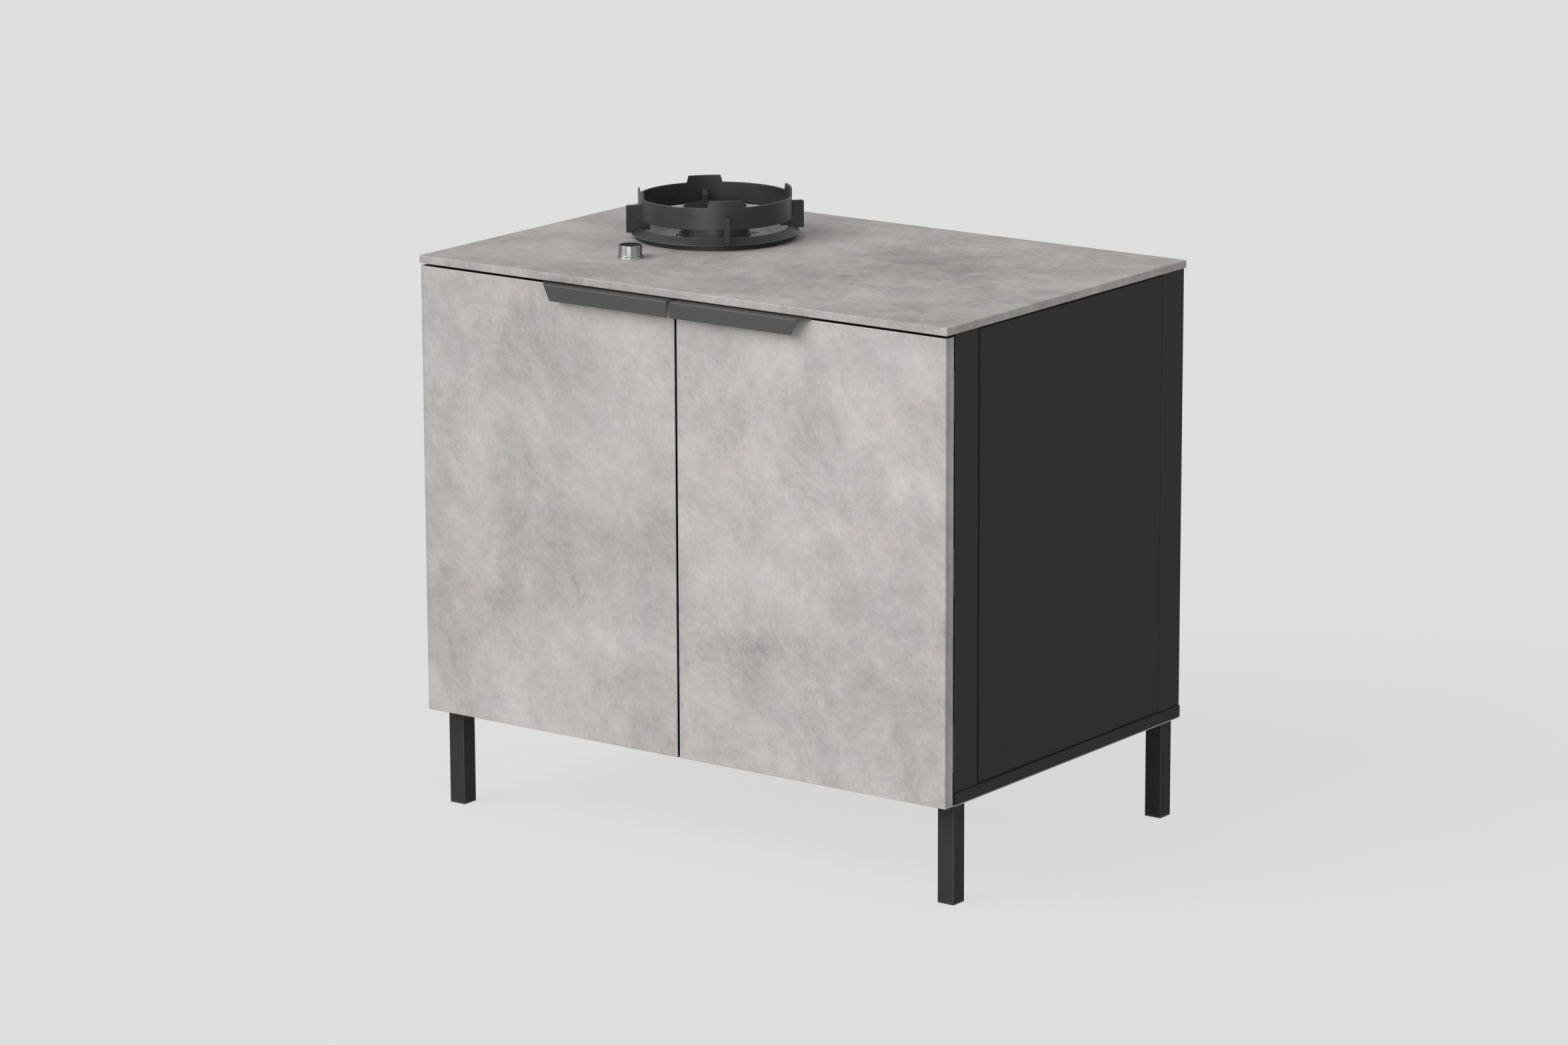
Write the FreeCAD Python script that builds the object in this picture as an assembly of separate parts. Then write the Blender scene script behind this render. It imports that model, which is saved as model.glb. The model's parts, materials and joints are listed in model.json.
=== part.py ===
import FreeCAD, Part
import os
from collections import namedtuple
from math import cos, pi, radians, sin
from FreeCAD import Placement, Rotation, Vector

# Free-standing island unit: steel cabinet on legs, two slab doors, slab worktop, gas burner, knob.
# Millimetres. +X runs along the width, the doors face -Y, +Z is up.
# The origin is on the floor, under the centre of the whole unit.

# ---- Driving dimensions ------------------------------------------------------------------

# Worktop slab
worktop_width = 1000.0
worktop_depth = 653.0
worktop_thick = 12.0
worktop_arris = 0.8
overhang_side = 2.5
overhang_back = 3.0

# Doors
door_thick = 20.0
door_skin = 6.0
door_arris = 1.0
door_setback = 1.0          # door front behind the worktop edge
door_side_setback = 2.0     # door edge inside the worktop end
door_centre_gap = 4.0
door_top_gap = 4.0
door_hinge_gap = 6.0        # between the door's back and the posts

# Door handles: bent sheet over the door's top edge
handle_sheet = 2.0
handle_reach = 18.0         # in front of the door
handle_drop = 25.0
handle_seat = 14.0          # depth of flange on the door's top edge
handle_length = 251.0       # along the door, at the door's face
handle_taper_top = 14.0     # outer end drawn in from the door to the fold
handle_taper_front = 11.5   # and from the fold to the lower edge
handle_end_gap = 1.0        # inner end set back from the door's edge
handle_bend = 2.5
handle_screw_count = 3

# Carcass frame
post_height = 700.0
post_width = 30.0
post_depth = 60.0
tube_wall = 2.0
post_corner = 1.5
top_rail_size = 30.0
base_rail_width = 40.0
base_rail_height = 20.0
base_lip_back = 2.0
shadow_height = 1.5         # rebate along the base rails' outer top edge
shadow_depth = 2.5

# Folded panels
sheet = 1.5
panel_depth = 20.0
panel_groove = 2.5
panel_step = 3.0
panel_clear = 1.0           # panels end this far under the worktop
bottom_sheet = 2.0
bottom_inset = 1.0
vent_length = 90.0
vent_width = 8.0
vent_pitch = 20.0
vent_count = 5
vent_bank_end = 84.0        # middle of a bank of slots, from either end of the back panel's posts

# Legs
leg_size = 30.0
leg_height = 158.0          # floor to the bottom panel
leg_corner = 2.5
leg_inset_side = 9.5
leg_inset_front = 11.5
leg_inset_back = 8.5
leg_plate = 80.0
leg_plate_thick = 4.0
leg_bolt_near = 45.0        # bolt places on the plate, from the leg's outer corner
leg_bolt_far = 65.0
cap_thick = 3.0
cap_plug = 12.0
cap_clear = 0.3

# Hinges: three-knuckle butt hinges in the gap behind each door's outer edge
hinge_edge = 2.5            # pin line inside the door's outer edge
hinge_length = 75.0
hinge_end = 90.0            # hinge centre from the door's top or bottom
hinge_count = 3
knuckle_radius = 2.7
knuckle_gap = 0.4
hinge_pin_radius = 1.5
hinge_pin_head = 2.3
hinge_pin_head_thick = 1.0
running_clear = 0.05
leaf_thick = 1.5
leaf_width = 24.0
leaf_screw_back = 14.0      # screw line from the pin line
leaf_screw_pitch = 44.0

# Magnetic catches
catch_length = 40.0
catch_height = 14.0
catch_air = 0.5
catch_chamfer = 1.0
strike_thick = 1.5
strike_margin = 1.5         # strike plate wider than the catch all round
catch_centre = 70.0         # from the middle of the unit

# Fasteners, by radius
Screw = namedtuple("Screw", "head head_height shank length")
door_screw = Screw(head=3.6, head_height=1.5, shank=1.9, length=12.0)      # hinge leaves and handles
panel_screw = Screw(head=4.0, head_height=2.0, shank=2.0, length=8.0)
panel_screw_end = 140.0     # screw heights, from either end of the posts
burner_screw = Screw(head=4.5, head_height=2.5, shank=2.5, length=22.0)
burner_screw_count = 4
leg_bolt_flats = 13.0
leg_bolt_head = 5.3
leg_bolt_radius = 4.0
leg_bolt_tail = 2.0
hole_clear = 0.2
seat_clear = 0.3
overcut = 1.0               # cutters run this far past a face

# Burner, centred in from the worktop's left end and front edge
burner_from_left = 281.0
burner_from_front = 395.0
worktop_hole_play = 18.0    # worktop's cut-out round the cup
ring_outer_radius = 134.0
ring_skirt_run = 11.0       # outer edge to crest
ring_crest_width = 4.0
ring_foot_inset = 7.0       # foot inside the outer edge
ring_height = 18.9
ring_lip_height = 9.0
ring_lip_thick = 1.0
dish_sheet = 1.0
dish_slope_run = 19.0       # floor to the ring
dish_hole_play = 16.0       # dish's hole round the cup
dish_rim_height = 12.5
dish_rim_width = 2.0
cup_radius = 54.0
cup_wall = 4.0
cup_top = 34.0
cup_depth = 34.0            # below the worktop's top
cup_ledge = 3.5             # rib round the cup that rests on the fixing plate
cup_ledge_thick = 2.5
plate_overlap = 14.0        # fixing plate beyond the dish's hole
plate_thick = 3.0
mixer_radius = 13.0
mixer_wall = 4.0
mixer_drop = 12.0
mixer_mouth_height = 17.0
mixer_mouth_lip = 3.0
flame_rim = 3.0             # crown's edge over the cup's rim
flame_width = 13.0
flame_height = 12.7
port_count = 24
port_width = 2.5
port_depth = 7.0
port_inside_cap = 4.0       # how far the ports reach in under the cap
flame_spigot = 4.0
cap_inset = 7.0             # cap's edge inside the crown's
cap_edge = 2.2
cap_dome = 3.5
cap_spigot = 3.0
clamp_overlap = 20.0        # clamp ring beyond the worktop's cut-out
clamp_thick = 3.0
clamp_play = 2.0
probe_gap = 9.0             # electrode and thermocouple outside the cup
electrode_radius = 3.0
thermocouple_radius = 2.0
probe_collar = 3.5
probe_shoulder = 2.0
probe_tip_length = 8.0
probe_tip_taper = 1.0
electrode_tip_radius = 0.9
electrode_reach = 26.0      # above and below the worktop's top, without the tip
thermocouple_tip_radius = 1.2
thermocouple_reach = 30.0
burner_screw_gap = 10.0     # screw circle outside the cup
injector_wall = 2.5         # round the mixing tube
injector_height = 30.0
injector_block = 14.0
jet_radius = 4.0
jet_nose_radius = 3.0
jet_height = 5.0
air_window_width = 10.0
air_window_margin = 1.0

# Pan support
band_inset = 1.0            # outside of the band, inside the ring's crest
band_thick = 3.0
band_low = 31.5
band_height = 35.0
tab_height = 11.0
tab_base = 58.0
tab_top = 52.0
fin_count = 4
fin_thick = 7.0
fin_overreach = 8.0         # outer end beyond the ring
fin_inreach = 15.0          # inner end inside the ring
fin_low = 10.5
fin_height = 43.8
fin_chamfer = 6.0
fin_corner = 1.5
fin_heel_rise = 2.0         # underside of a fin's inner end above the dish

# Tap and knob, on the burner's line
knob_from_front = 175.0
spigot_radius = 10.0
tap_wall = 7.95             # round the chamber
tap_depth = 45.0            # below the worktop's top
tap_flange_overlap = 2.0
tap_flange_thick = 3.0
tap_floor = 3.0
inlet_radius = 10.48        # half-inch pipe thread, major diameter 20.96
inlet_length = 14.0
inlet_bore = 7.0
tap_nut_flats = 26.0
tap_nut_thick = 3.0
stem_radius = 4.0
stem_flat = 1.0
stem_foot_lip = 2.0
stem_foot_thick = 3.2
plunger_lip = 1.0           # plunger wider than the stem's foot
plunger_length = 10.0
chamber_top = 22.0          # below the worktop's top
chamber_depth = 18.0
knob_radius = 18.75
knob_wall = 1.55
knob_low = 3.5
knob_high = 20.5
knob_edge = 0.6
knob_rim = 1.25             # metal left round the cap
knob_cap_thick = 1.2
knob_cap_clear = 0.1
hub_wall = 3.45
hub_low = 6.5
hub_depth = 9.5
bezel_width = 1.6
bezel_height = 6.0
bezel_gap = 0.4
bezel_foot = 1.0
bezel_lip = 0.6
pipe_radius = 4.0
pipe_wall = 1.0
pipe_bend = 18.0
outlet_radius = 6.0
outlet_length = 10.0
outlet_drop = 34.0

# ---- Positions worked out from them ------------------------------------------------------

handle_out = handle_reach - door_setback
worktop_front = (handle_out - worktop_depth) / 2
worktop_back = worktop_front + worktop_depth
door_front = worktop_front + door_setback
door_back = door_front + door_thick
carcass_front = door_back + door_hinge_gap
carcass_back = worktop_back - overhang_back
carcass_half = worktop_width / 2 - overhang_side
base_back = carcass_back + base_lip_back

z_sheet = leg_height
z_base = z_sheet + bottom_sheet
z_post = z_base + base_rail_height
z_top = z_post + post_height
z_work = z_top + worktop_thick

door_outer = worktop_width / 2 - door_side_setback
door_inner = door_centre_gap / 2
door_low = z_base
door_high = z_top - door_top_gap

hinge_x = door_outer - hinge_edge
hinge_y = door_back + door_hinge_gap / 2
hinge_step = (door_high - door_low - 2 * hinge_end) / (hinge_count - 1)
hinge_centres = [door_low + hinge_end + hinge_step * i for i in range(hinge_count)]
leaf_screw_x = hinge_x - leaf_screw_back

burner = Vector(-worktop_width / 2 + burner_from_left, worktop_front + burner_from_front, z_work)
tap = Vector(burner.x, worktop_front + knob_from_front, z_work)
worktop_hole_radius = cup_radius + worktop_hole_play
dish_hole_radius = cup_radius + dish_hole_play
plate_radius = dish_hole_radius + plate_overlap
clamp_radius = worktop_hole_radius + clamp_overlap
burner_screw_circle = cup_radius + burner_screw_gap
probe_circle = cup_radius + probe_gap
flame_outer_radius = cup_radius + flame_rim
flame_inner_radius = flame_outer_radius - flame_width
cap_radius = flame_outer_radius - cap_inset
injector_radius = mixer_radius + injector_wall
stem_foot_radius = stem_radius + stem_foot_lip
plunger_radius = stem_foot_radius + plunger_lip
tap_radius = plunger_radius + running_clear + tap_wall
tap_flange_radius = tap_radius + tap_flange_overlap
knob_cap_radius = knob_radius - knob_rim - knob_cap_clear
hub_radius = stem_radius + running_clear + hub_wall
bezel_radius = knob_radius + bezel_gap + bezel_width
ring_crest_radius = ring_outer_radius - ring_skirt_run
ring_inner_radius = ring_crest_radius - ring_crest_width
ring_foot_radius = ring_outer_radius - ring_foot_inset
dish_floor_radius = ring_inner_radius - dish_slope_run
band_radius = ring_crest_radius - band_inset
fin_outer_radius = ring_outer_radius + fin_overreach
fin_inner_radius = ring_inner_radius - fin_inreach
plate_top = dish_sheet + plate_thick
cup_low = -cup_depth
clamp_low = -worktop_thick - clamp_thick
mixer_low = cup_low - mixer_drop
injector_low = mixer_low + mixer_wall * 2 - injector_height
injector_inlet = injector_low + injector_block / 2
flame_low = cup_top + seat_clear
flame_top = flame_low + flame_height

# ---- Helpers -----------------------------------------------------------------------------

X, Y, Z = Vector(1, 0, 0), Vector(0, 1, 0), Vector(0, 0, 1)


def box(x, y, z):
    """Box from three (low, high) pairs."""
    return Part.makeBox(x[1] - x[0], y[1] - y[0], z[1] - z[0], Vector(x[0], y[0], z[0]))


def rod(radius, low, high, at=Vector()):
    """Upright cylinder between two heights over a point."""
    return Part.makeCylinder(radius, high - low, at + Z * low)


def prism(points, direction):
    """Flat polygon pushed along a vector."""
    return Part.Face(Part.makePolygon(points + points[:1])).extrude(direction)


def turned(profile, at=Vector()):
    """Solid of revolution about the upright line through a point, from (radius, height) pairs."""
    points = [at + Vector(r, 0, z) for r, z in profile]
    return Part.Face(Part.makePolygon(points + points[:1])).revolve(at, Z, 360)


def mirrored(shape):
    """The same piece on the unit's other half."""
    return shape.mirror(Vector(), X)


def facing(shape, point, direction):
    """Shape built along +Z from the origin, laid along a direction from a point."""
    placed = shape.copy()
    placed.Placement = Placement(point, Rotation(Z, direction))
    return placed


def joined(shapes):
    """One solid from touching pieces."""
    return shapes[0].multiFuse(shapes[1:]).removeSplitter()


def group(shapes):
    """Separate solids kept in one node."""
    return Part.makeCompound(shapes)


def upright_edges(shape):
    """Edges that run along Z."""
    return [e for e in shape.Edges if abs(e.tangentAt(e.FirstParameter).z) > 0.999]


def rounded_box(x, y, z, radius):
    """Box with its upright corners rounded."""
    block = box(x, y, z)
    return block.makeFillet(radius, upright_edges(block))


def inner(pair, wall):
    """A (low, high) pair drawn in by a wall on both sides."""
    return (pair[0] + wall, pair[1] - wall)


def tube_upright(x, y, z, corner):
    """Rectangular tube standing on end."""
    return rounded_box(x, y, z, corner).cut(box(inner(x, tube_wall), inner(y, tube_wall), z))


def hexagon(flats, low, high, at):
    """Hexagonal prism, for nuts and bolt heads."""
    corner = flats / 2 / cos(pi / 6)
    points = [at + Vector(corner * cos(i * pi / 3), corner * sin(i * pi / 3), low) for i in range(6)]
    return prism(points, Z * (high - low))


def countersunk(screw, grow=0.0):
    """Flat-headed screw, head up at the origin; grow widens its shank into a hole."""
    wide = screw.shank + grow
    return turned([(0, 0), (screw.head, 0), (wide, -screw.head_height), (wide, -screw.length),
                   (0, -screw.length)])


def pan_headed(screw):
    """Pan-headed screw whose head sits on the origin's plane."""
    crown, shoulder = screw.head * 0.7, screw.head_height * 0.4
    return turned([(0, screw.head_height), (crown, screw.head_height), (screw.head, shoulder),
                   (screw.head, 0), (screw.shank, 0), (screw.shank, -screw.length), (0, -screw.length)])


def screw_hole(screw):
    """Radius of the plain hole that a screw passes through."""
    return screw.shank + hole_clear


def drilled(shape, spots, radius, reach):
    """Cut round holes through a shape at (point, direction) spots."""
    holes = [facing(rod(radius, -reach, reach), point, direction) for point, direction in spots]
    return shape.cut(holes)


def around(count, radius, at, first=0.0):
    """Points evenly spaced on a circle, with the angle of each in degrees."""
    angles = [first + 360.0 / count * i for i in range(count)]
    return [(at + Vector(radius * cos(radians(a)), radius * sin(radians(a)), 0), a) for a in angles]


# ---- Places of the fasteners -------------------------------------------------------------


def hinge_screw_heights():
    """Heights of the leaf screws, two to a leaf."""
    return [z + side * leaf_screw_pitch / 2 for z in hinge_centres for side in (-1, 1)]


def handle_screw_spots():
    """Screws down through the right handle's flange."""
    low = door_inner + handle_end_gap
    step = handle_length / handle_screw_count
    y = door_front + handle_seat / 2 + handle_sheet / 2
    z = door_high + handle_sheet
    return [Vector(low + step * (i + 0.5), y, z) for i in range(handle_screw_count)]


def panel_heights():
    """Heights of the panel screws."""
    return [z_post + panel_screw_end, z_top - panel_screw_end]


def side_panel_spots():
    """Right side panel: screws through its upright flanges into the posts."""
    x = carcass_half - (panel_step + panel_depth) / 2
    front = carcass_front + post_depth + sheet
    rear = carcass_back - post_depth - sheet
    return [(Vector(x, y, z), way) for z in panel_heights() for y, way in ((front, Y), (rear, -Y))]


def back_panel_spots():
    """Back panel: screws through its right-hand flange into the rear post."""
    x = carcass_half - post_width - sheet
    y = carcass_back - (panel_step + panel_depth) / 2
    return [(Vector(x, y, z), -X) for z in panel_heights()]


def leg_corner_point(front):
    """Outer corner of a right-hand leg, and the way inwards from it."""
    y = carcass_front + leg_inset_front if front else base_back - leg_inset_back
    return Vector(carcass_half - leg_inset_side, y, 0), 1 if front else -1


def leg_bolt_spots(front):
    """The two bolts of a right-hand leg, on its plate inside the base rails."""
    corner, way = leg_corner_point(front)
    places = ((leg_bolt_near, leg_bolt_far), (leg_bolt_far, leg_bolt_near))
    return [corner + Vector(-u, way * v, 0) for u, v in places]


def burner_screw_spots():
    """Screws that pull the fixing plate and the clamp ring together."""
    return around(burner_screw_count, burner_screw_circle, burner, 180 / burner_screw_count)


electrode_at = burner + Vector(0, probe_circle, 0)
thermocouple_at = burner + Vector(-probe_circle, 0, 0)

# ---- Frame -------------------------------------------------------------------------------


def worktop():
    """Slab with the burner's cut-out and the tap's hole, arrises broken."""
    half = worktop_width / 2
    slab = box((-half, half), (worktop_front, worktop_back), (z_top, z_work))
    slab = slab.makeChamfer(worktop_arris, slab.Edges)
    burner_hole = rod(worktop_hole_radius, -worktop_thick, 0, burner)
    tap_hole = rod(spigot_radius + seat_clear, -worktop_thick, 0, tap)
    return slab.cut([burner_hole, tap_hole])


def post(front):
    """Right-hand corner post with its screw holes."""
    x = (carcass_half - post_width, carcass_half)
    y_low = carcass_front if front else carcass_back - post_depth
    y = (y_low, y_low + post_depth)
    tube = tube_upright(x, y, (z_post, z_top), post_corner)
    spots = [s for s in side_panel_spots() if (s[1] == Y) == front]
    if not front:
        spots += back_panel_spots()
    tube = drilled(tube, spots, screw_hole(panel_screw), panel_screw.length + overcut)
    if front:
        holes = [(Vector(leaf_screw_x, carcass_front, z), Y) for z in hinge_screw_heights()]
        tube = drilled(tube, holes, screw_hole(door_screw), door_screw.length)
    return tube


def top_rail_across(front):
    """Tube across the top between two posts."""
    y_low = carcass_front if front else carcass_back - panel_depth - top_rail_size
    y = (y_low, y_low + top_rail_size)
    z = (z_top - top_rail_size, z_top)
    x = (post_width - carcass_half, carcass_half - post_width)
    return box(x, y, z).cut(box(x, inner(y, tube_wall), inner(z, tube_wall)))


def top_rail_side():
    """Right-hand top tube, just inside the side panel."""
    x = (carcass_half - panel_depth - top_rail_size, carcass_half - panel_depth)
    y = (carcass_front + post_depth, carcass_back - post_depth)
    z = (z_top - top_rail_size, z_top)
    return box(x, y, z).cut(box(inner(x, tube_wall), y, inner(z, tube_wall)))


def base_ring_solid(margin, z):
    """Rectangular ring over the base frame's plan, each side drawn in by a margin."""
    x = (-carcass_half, carcass_half)
    y = (carcass_front, base_back)
    outer = box(inner(x, margin), inner(y, margin), z)
    wide = base_rail_width - margin
    return outer.cut(box(inner(x, wide), inner(y, wide), z))


def base_rail(side):
    """One mitred side of the base frame: 0 front, 1 right, 2 rear, 3 left."""
    z = (z_base, z_post)
    ring = base_ring_solid(0, z)
    hollow = base_ring_solid(tube_wall, (z_base + tube_wall, z_post - shadow_height - tube_wall))
    x = (-carcass_half, carcass_half)
    y = (carcass_front, base_back)
    rebate_z = (z_post - shadow_height, z_post)
    rebate = box(x, y, rebate_z).cut(box(inner(x, shadow_depth), inner(y, shadow_depth), rebate_z))
    corners = [(x[0], y[0], 1, 1), (x[1], y[0], -1, 1), (x[1], y[1], -1, -1), (x[0], y[1], 1, -1)]
    a, b = corners[side], corners[(side + 1) % 4]
    wide = base_rail_width
    outline = [Vector(a[0], a[1], z_base), Vector(b[0], b[1], z_base),
               Vector(b[0] + b[2] * wide, b[1] + b[3] * wide, z_base),
               Vector(a[0] + a[2] * wide, a[1] + a[3] * wide, z_base)]
    return ring.cut([hollow, rebate]).common(prism(outline, Z * base_rail_height))


def slot(length, width, deep, point, along, through):
    """Round-ended slot cutter centred on a point."""
    half = (length - width) / 2
    side = through.cross(along)
    centre = point - through * deep
    ends = [facing(Part.makeCylinder(width / 2, 2 * deep), centre + along * way * half, through)
            for way in (-1, 1)]
    places = ((-half, -width / 2), (half, -width / 2), (half, width / 2), (-half, width / 2))
    corners = [centre + along * a + side * b for a, b in places]
    return joined([prism(corners, through * 2 * deep)] + ends)


def vent_places(middle):
    """Middles of a bank of slots, one pitch apart."""
    return [middle + vent_pitch * (i - (vent_count - 1) / 2) for i in range(vent_count)]


def bottom_panel():
    """Sheet floor under the base frame, with bolt holes and low-level vents."""
    x = inner((-carcass_half, carcass_half), bottom_inset)
    y = inner((carcass_front, base_back), bottom_inset)
    floor = box(x, y, (z_sheet, z_base))
    spots = leg_bolt_spots(True) + leg_bolt_spots(False)
    spots += [Vector(-p.x, p.y, 0) for p in spots]
    holes = [(p + Z * z_sheet, Z) for p in spots]
    floor = drilled(floor, holes, leg_bolt_radius + hole_clear, bottom_sheet + overcut)
    rows = vent_places((carcass_front + base_back) / 2)
    deep = bottom_sheet + overcut
    return floor.cut([slot(vent_length, vent_width, deep, Vector(0, y, z_base), X, Z) for y in rows])


def drawn_in(spans, margin, axis, low, high):
    """Box of three spans, drawn in by a margin across one axis and set from low to high along it."""
    pairs = [inner(pair, margin) for pair in spans]
    pairs[axis] = (min(low, high), max(low, high))
    return box(*pairs)


def tray_panel(spans, axis, outer):
    """Folded panel: a face stepped out of its frame opening, with flanges turned inwards."""
    shoulder = outer - panel_step
    back = outer - panel_depth
    skin = drawn_in(spans, 0, axis, shoulder, back).fuse(drawn_in(spans, panel_groove, axis, outer, shoulder))
    hollow = drawn_in(spans, sheet, axis, shoulder - sheet, back)
    pocket = drawn_in(spans, panel_groove + sheet, axis, outer - sheet, shoulder - sheet)
    return skin.cut([hollow, pocket]).removeSplitter()


def side_panel():
    """Right-hand side panel."""
    y = (carcass_front + post_depth, carcass_back - post_depth)
    tray = tray_panel([(0, 0), y, (z_post, z_top - panel_clear)], 0, carcass_half)
    return drilled(tray, side_panel_spots(), screw_hole(panel_screw), sheet + overcut)


def back_panel():
    """Back panel with two banks of vent slots."""
    x = (post_width - carcass_half, carcass_half - post_width)
    tray = tray_panel([x, (0, 0), (z_post, z_top - panel_clear)], 1, carcass_back)
    spots = back_panel_spots() + [(Vector(-p.x, p.y, p.z), X) for p, way in back_panel_spots()]
    tray = drilled(tray, spots, screw_hole(panel_screw), sheet + overcut)
    rows = vent_places(z_post + vent_bank_end) + vent_places(z_top - vent_bank_end)
    slots = [slot(vent_length, vent_width, panel_step, Vector(0, carcass_back, z), X, Y) for z in rows]
    return tray.cut(slots)


def leg(front):
    """Right-hand leg: tube with a welded top plate reaching inwards under the floor."""
    corner, way = leg_corner_point(front)
    x = (corner.x - leg_size, corner.x)
    y = tuple(sorted((corner.y, corner.y + way * leg_size)))
    plate_y = tuple(sorted((corner.y, corner.y + way * leg_plate)))
    plate_low = z_sheet - leg_plate_thick
    tube = tube_upright(x, y, (cap_thick, plate_low), leg_corner)
    plate = rounded_box((corner.x - leg_plate, corner.x), plate_y, (plate_low, z_sheet), leg_corner)
    spots = [(p + Z * z_sheet, Z) for p in leg_bolt_spots(front)]
    plate = drilled(plate, spots, leg_bolt_radius + hole_clear, leg_plate_thick + overcut)
    return joined([tube, plate])


def foot_cap(front):
    """Plastic cap plugged into the lower end of a right-hand leg."""
    corner, way = leg_corner_point(front)
    x = (corner.x - leg_size, corner.x)
    y = tuple(sorted((corner.y, corner.y + way * leg_size)))
    sole = rounded_box(x, y, (0, cap_thick), leg_corner)
    wall = tube_wall + cap_clear
    return joined([sole, box(inner(x, wall), inner(y, wall), (cap_thick, cap_thick + cap_plug))])


def leg_bolt(at):
    """Hexagon bolt from the cabinet floor down into a leg plate."""
    tail = z_sheet - leg_plate_thick - leg_bolt_tail
    head = hexagon(leg_bolt_flats, z_base, z_base + leg_bolt_head, at)
    return joined([head, rod(leg_bolt_radius, tail, z_base, at)])


def both_sides(shapes):
    """Right-hand pieces and their left-hand copies, as separate solids of one node."""
    return group(shapes + [mirrored(s) for s in shapes])


def leg_bolts():
    """The eight leg bolts."""
    return both_sides([leg_bolt(p) for front in (True, False) for p in leg_bolt_spots(front)])


def foot_caps():
    """The four foot caps."""
    return both_sides([foot_cap(True), foot_cap(False)])


def panel_screws():
    """Screws that hold the side and back panels to the posts."""
    spots = side_panel_spots() + back_panel_spots()
    return both_sides([facing(pan_headed(panel_screw), point, way) for point, way in spots])


# ---- Doors, right hand -------------------------------------------------------------------


def door_spans(margin):
    """X and Z extents of the right-hand door, drawn in by a margin."""
    return inner((door_inner, door_outer), margin), inner((door_low, door_high), margin)


def door_slab():
    """Stone face with returns bonded along its four edges, as deep as the door."""
    x, z = door_spans(0)
    block = box(x, (door_front, door_back), z)
    face_edges = [e for e in block.Edges if all(abs(v.Y - door_front) < 0.001 for v in e.Vertexes)]
    block = block.makeChamfer(door_arris, face_edges)
    x, z = door_spans(door_skin)
    shell = block.cut(box(x, (door_front + door_skin, door_back), z))
    return drilled(shell, [(p, Z) for p in handle_screw_spots()], screw_hole(door_screw), door_screw.length)


def door_back_pan():
    """Folded sheet pan that fills the slab's hollow and carries the hinge leaves."""
    x, z = door_spans(door_skin)
    y = (door_front + door_skin, door_back)
    pan = box(x, y, z).cut(box(inner(x, sheet), (y[0], y[1] - sheet), inner(z, sheet)))
    pan = drilled(pan, [(p, Z) for p in handle_screw_spots()], screw_hole(door_screw), door_screw.length)
    holes = [(Vector(leaf_screw_x, door_back, h), Y) for h in hinge_screw_heights()]
    return drilled(pan, holes, screw_hole(door_screw), sheet + overcut)


def handle():
    """Bent sheet edge pull, its outer end tapered in plan and on its face."""
    low = door_inner + handle_end_gap
    high = low + handle_length
    top = door_high + handle_sheet
    nose = door_front - handle_reach
    heel = door_front + handle_seat
    bar = box((low, high), (nose, heel), (top - handle_drop, top))
    bar = bar.cut(box((low, high), (nose + handle_sheet, heel), (top - handle_drop, top - handle_sheet)))
    folds = [e for e in bar.Edges if all(abs(v.Y - nose) < 0.001 and abs(v.Z - top) < 0.001
                                         for v in e.Vertexes)]
    bar = bar.makeFillet(handle_bend, folds)
    fold = high - handle_taper_top
    foot = fold - handle_taper_front
    plan = [Vector(high, door_front, top), Vector(fold, nose, top), Vector(high, nose, top)]
    front = [Vector(fold, nose, top), Vector(foot, nose, top - handle_drop),
             Vector(high, nose, top - handle_drop), Vector(high, nose, top)]
    bar = bar.cut([prism(plan, Z * -handle_drop), prism(front, Y * handle_sheet)])
    return bar.cut([facing(countersunk(door_screw, hole_clear), p, Z) for p in handle_screw_spots()])


def hinge_leaves(on_door):
    """One side of the three hinges: plates with knuckles rolled round the pin line."""
    face, way = (door_back, 1) if on_door else (carcass_front, -1)
    y = tuple(sorted((face, face + way * leaf_thick)))
    neck = hinge_x - knuckle_radius - knuckle_gap
    pitch = hinge_length / 3
    pin_line = Vector(hinge_x, hinge_y, 0)
    leaves = []
    for centre in hinge_centres:
        low = centre - hinge_length / 2
        parts = [box((hinge_x - leaf_width, neck), y, (low, low + hinge_length - knuckle_gap))]
        for i in ((1,) if on_door else (0, 2)):
            z = (low + i * pitch, low + (i + 1) * pitch - knuckle_gap)
            parts.append(box((neck, hinge_x), y, z))
            parts.append(rod(knuckle_radius, z[0], z[1], pin_line))
        pin_hole = rod(hinge_pin_radius + running_clear, low, low + hinge_length, pin_line)
        leaf = joined(parts).cut(pin_hole)
        seats = [Vector(leaf_screw_x, face + way * leaf_thick, centre + side * leaf_screw_pitch / 2)
                 for side in (-1, 1)]
        leaves.append(leaf.cut([facing(countersunk(door_screw, hole_clear), p, Y * way) for p in seats]))
    return leaves


def hinge_screws(on_door):
    """Countersunk screws of one side of the hinges."""
    face, way = (door_back, 1) if on_door else (carcass_front, -1)
    y = face + way * leaf_thick
    seats = [Vector(leaf_screw_x, y, z) for z in hinge_screw_heights()]
    return [facing(countersunk(door_screw), seat, Y * way) for seat in seats]


def door_screws():
    """All screws of the right-hand door: its hinge leaves and its handle."""
    handle_screws = [facing(countersunk(door_screw), p, Z) for p in handle_screw_spots()]
    return group(hinge_screws(True) + handle_screws)


def hinge_pins():
    """Headed pins through the knuckles."""
    pins = []
    for centre in hinge_centres:
        low = centre - hinge_length / 2
        high = low + hinge_length - knuckle_gap
        crown = high + hinge_pin_head_thick
        profile = [(0, low), (hinge_pin_radius, low), (hinge_pin_radius, high), (hinge_pin_head, high),
                   (hinge_pin_head, (high + crown) / 2), (hinge_pin_radius, crown), (0, crown)]
        pins.append(turned(profile, Vector(hinge_x, hinge_y, 0)))
    return pins


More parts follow.
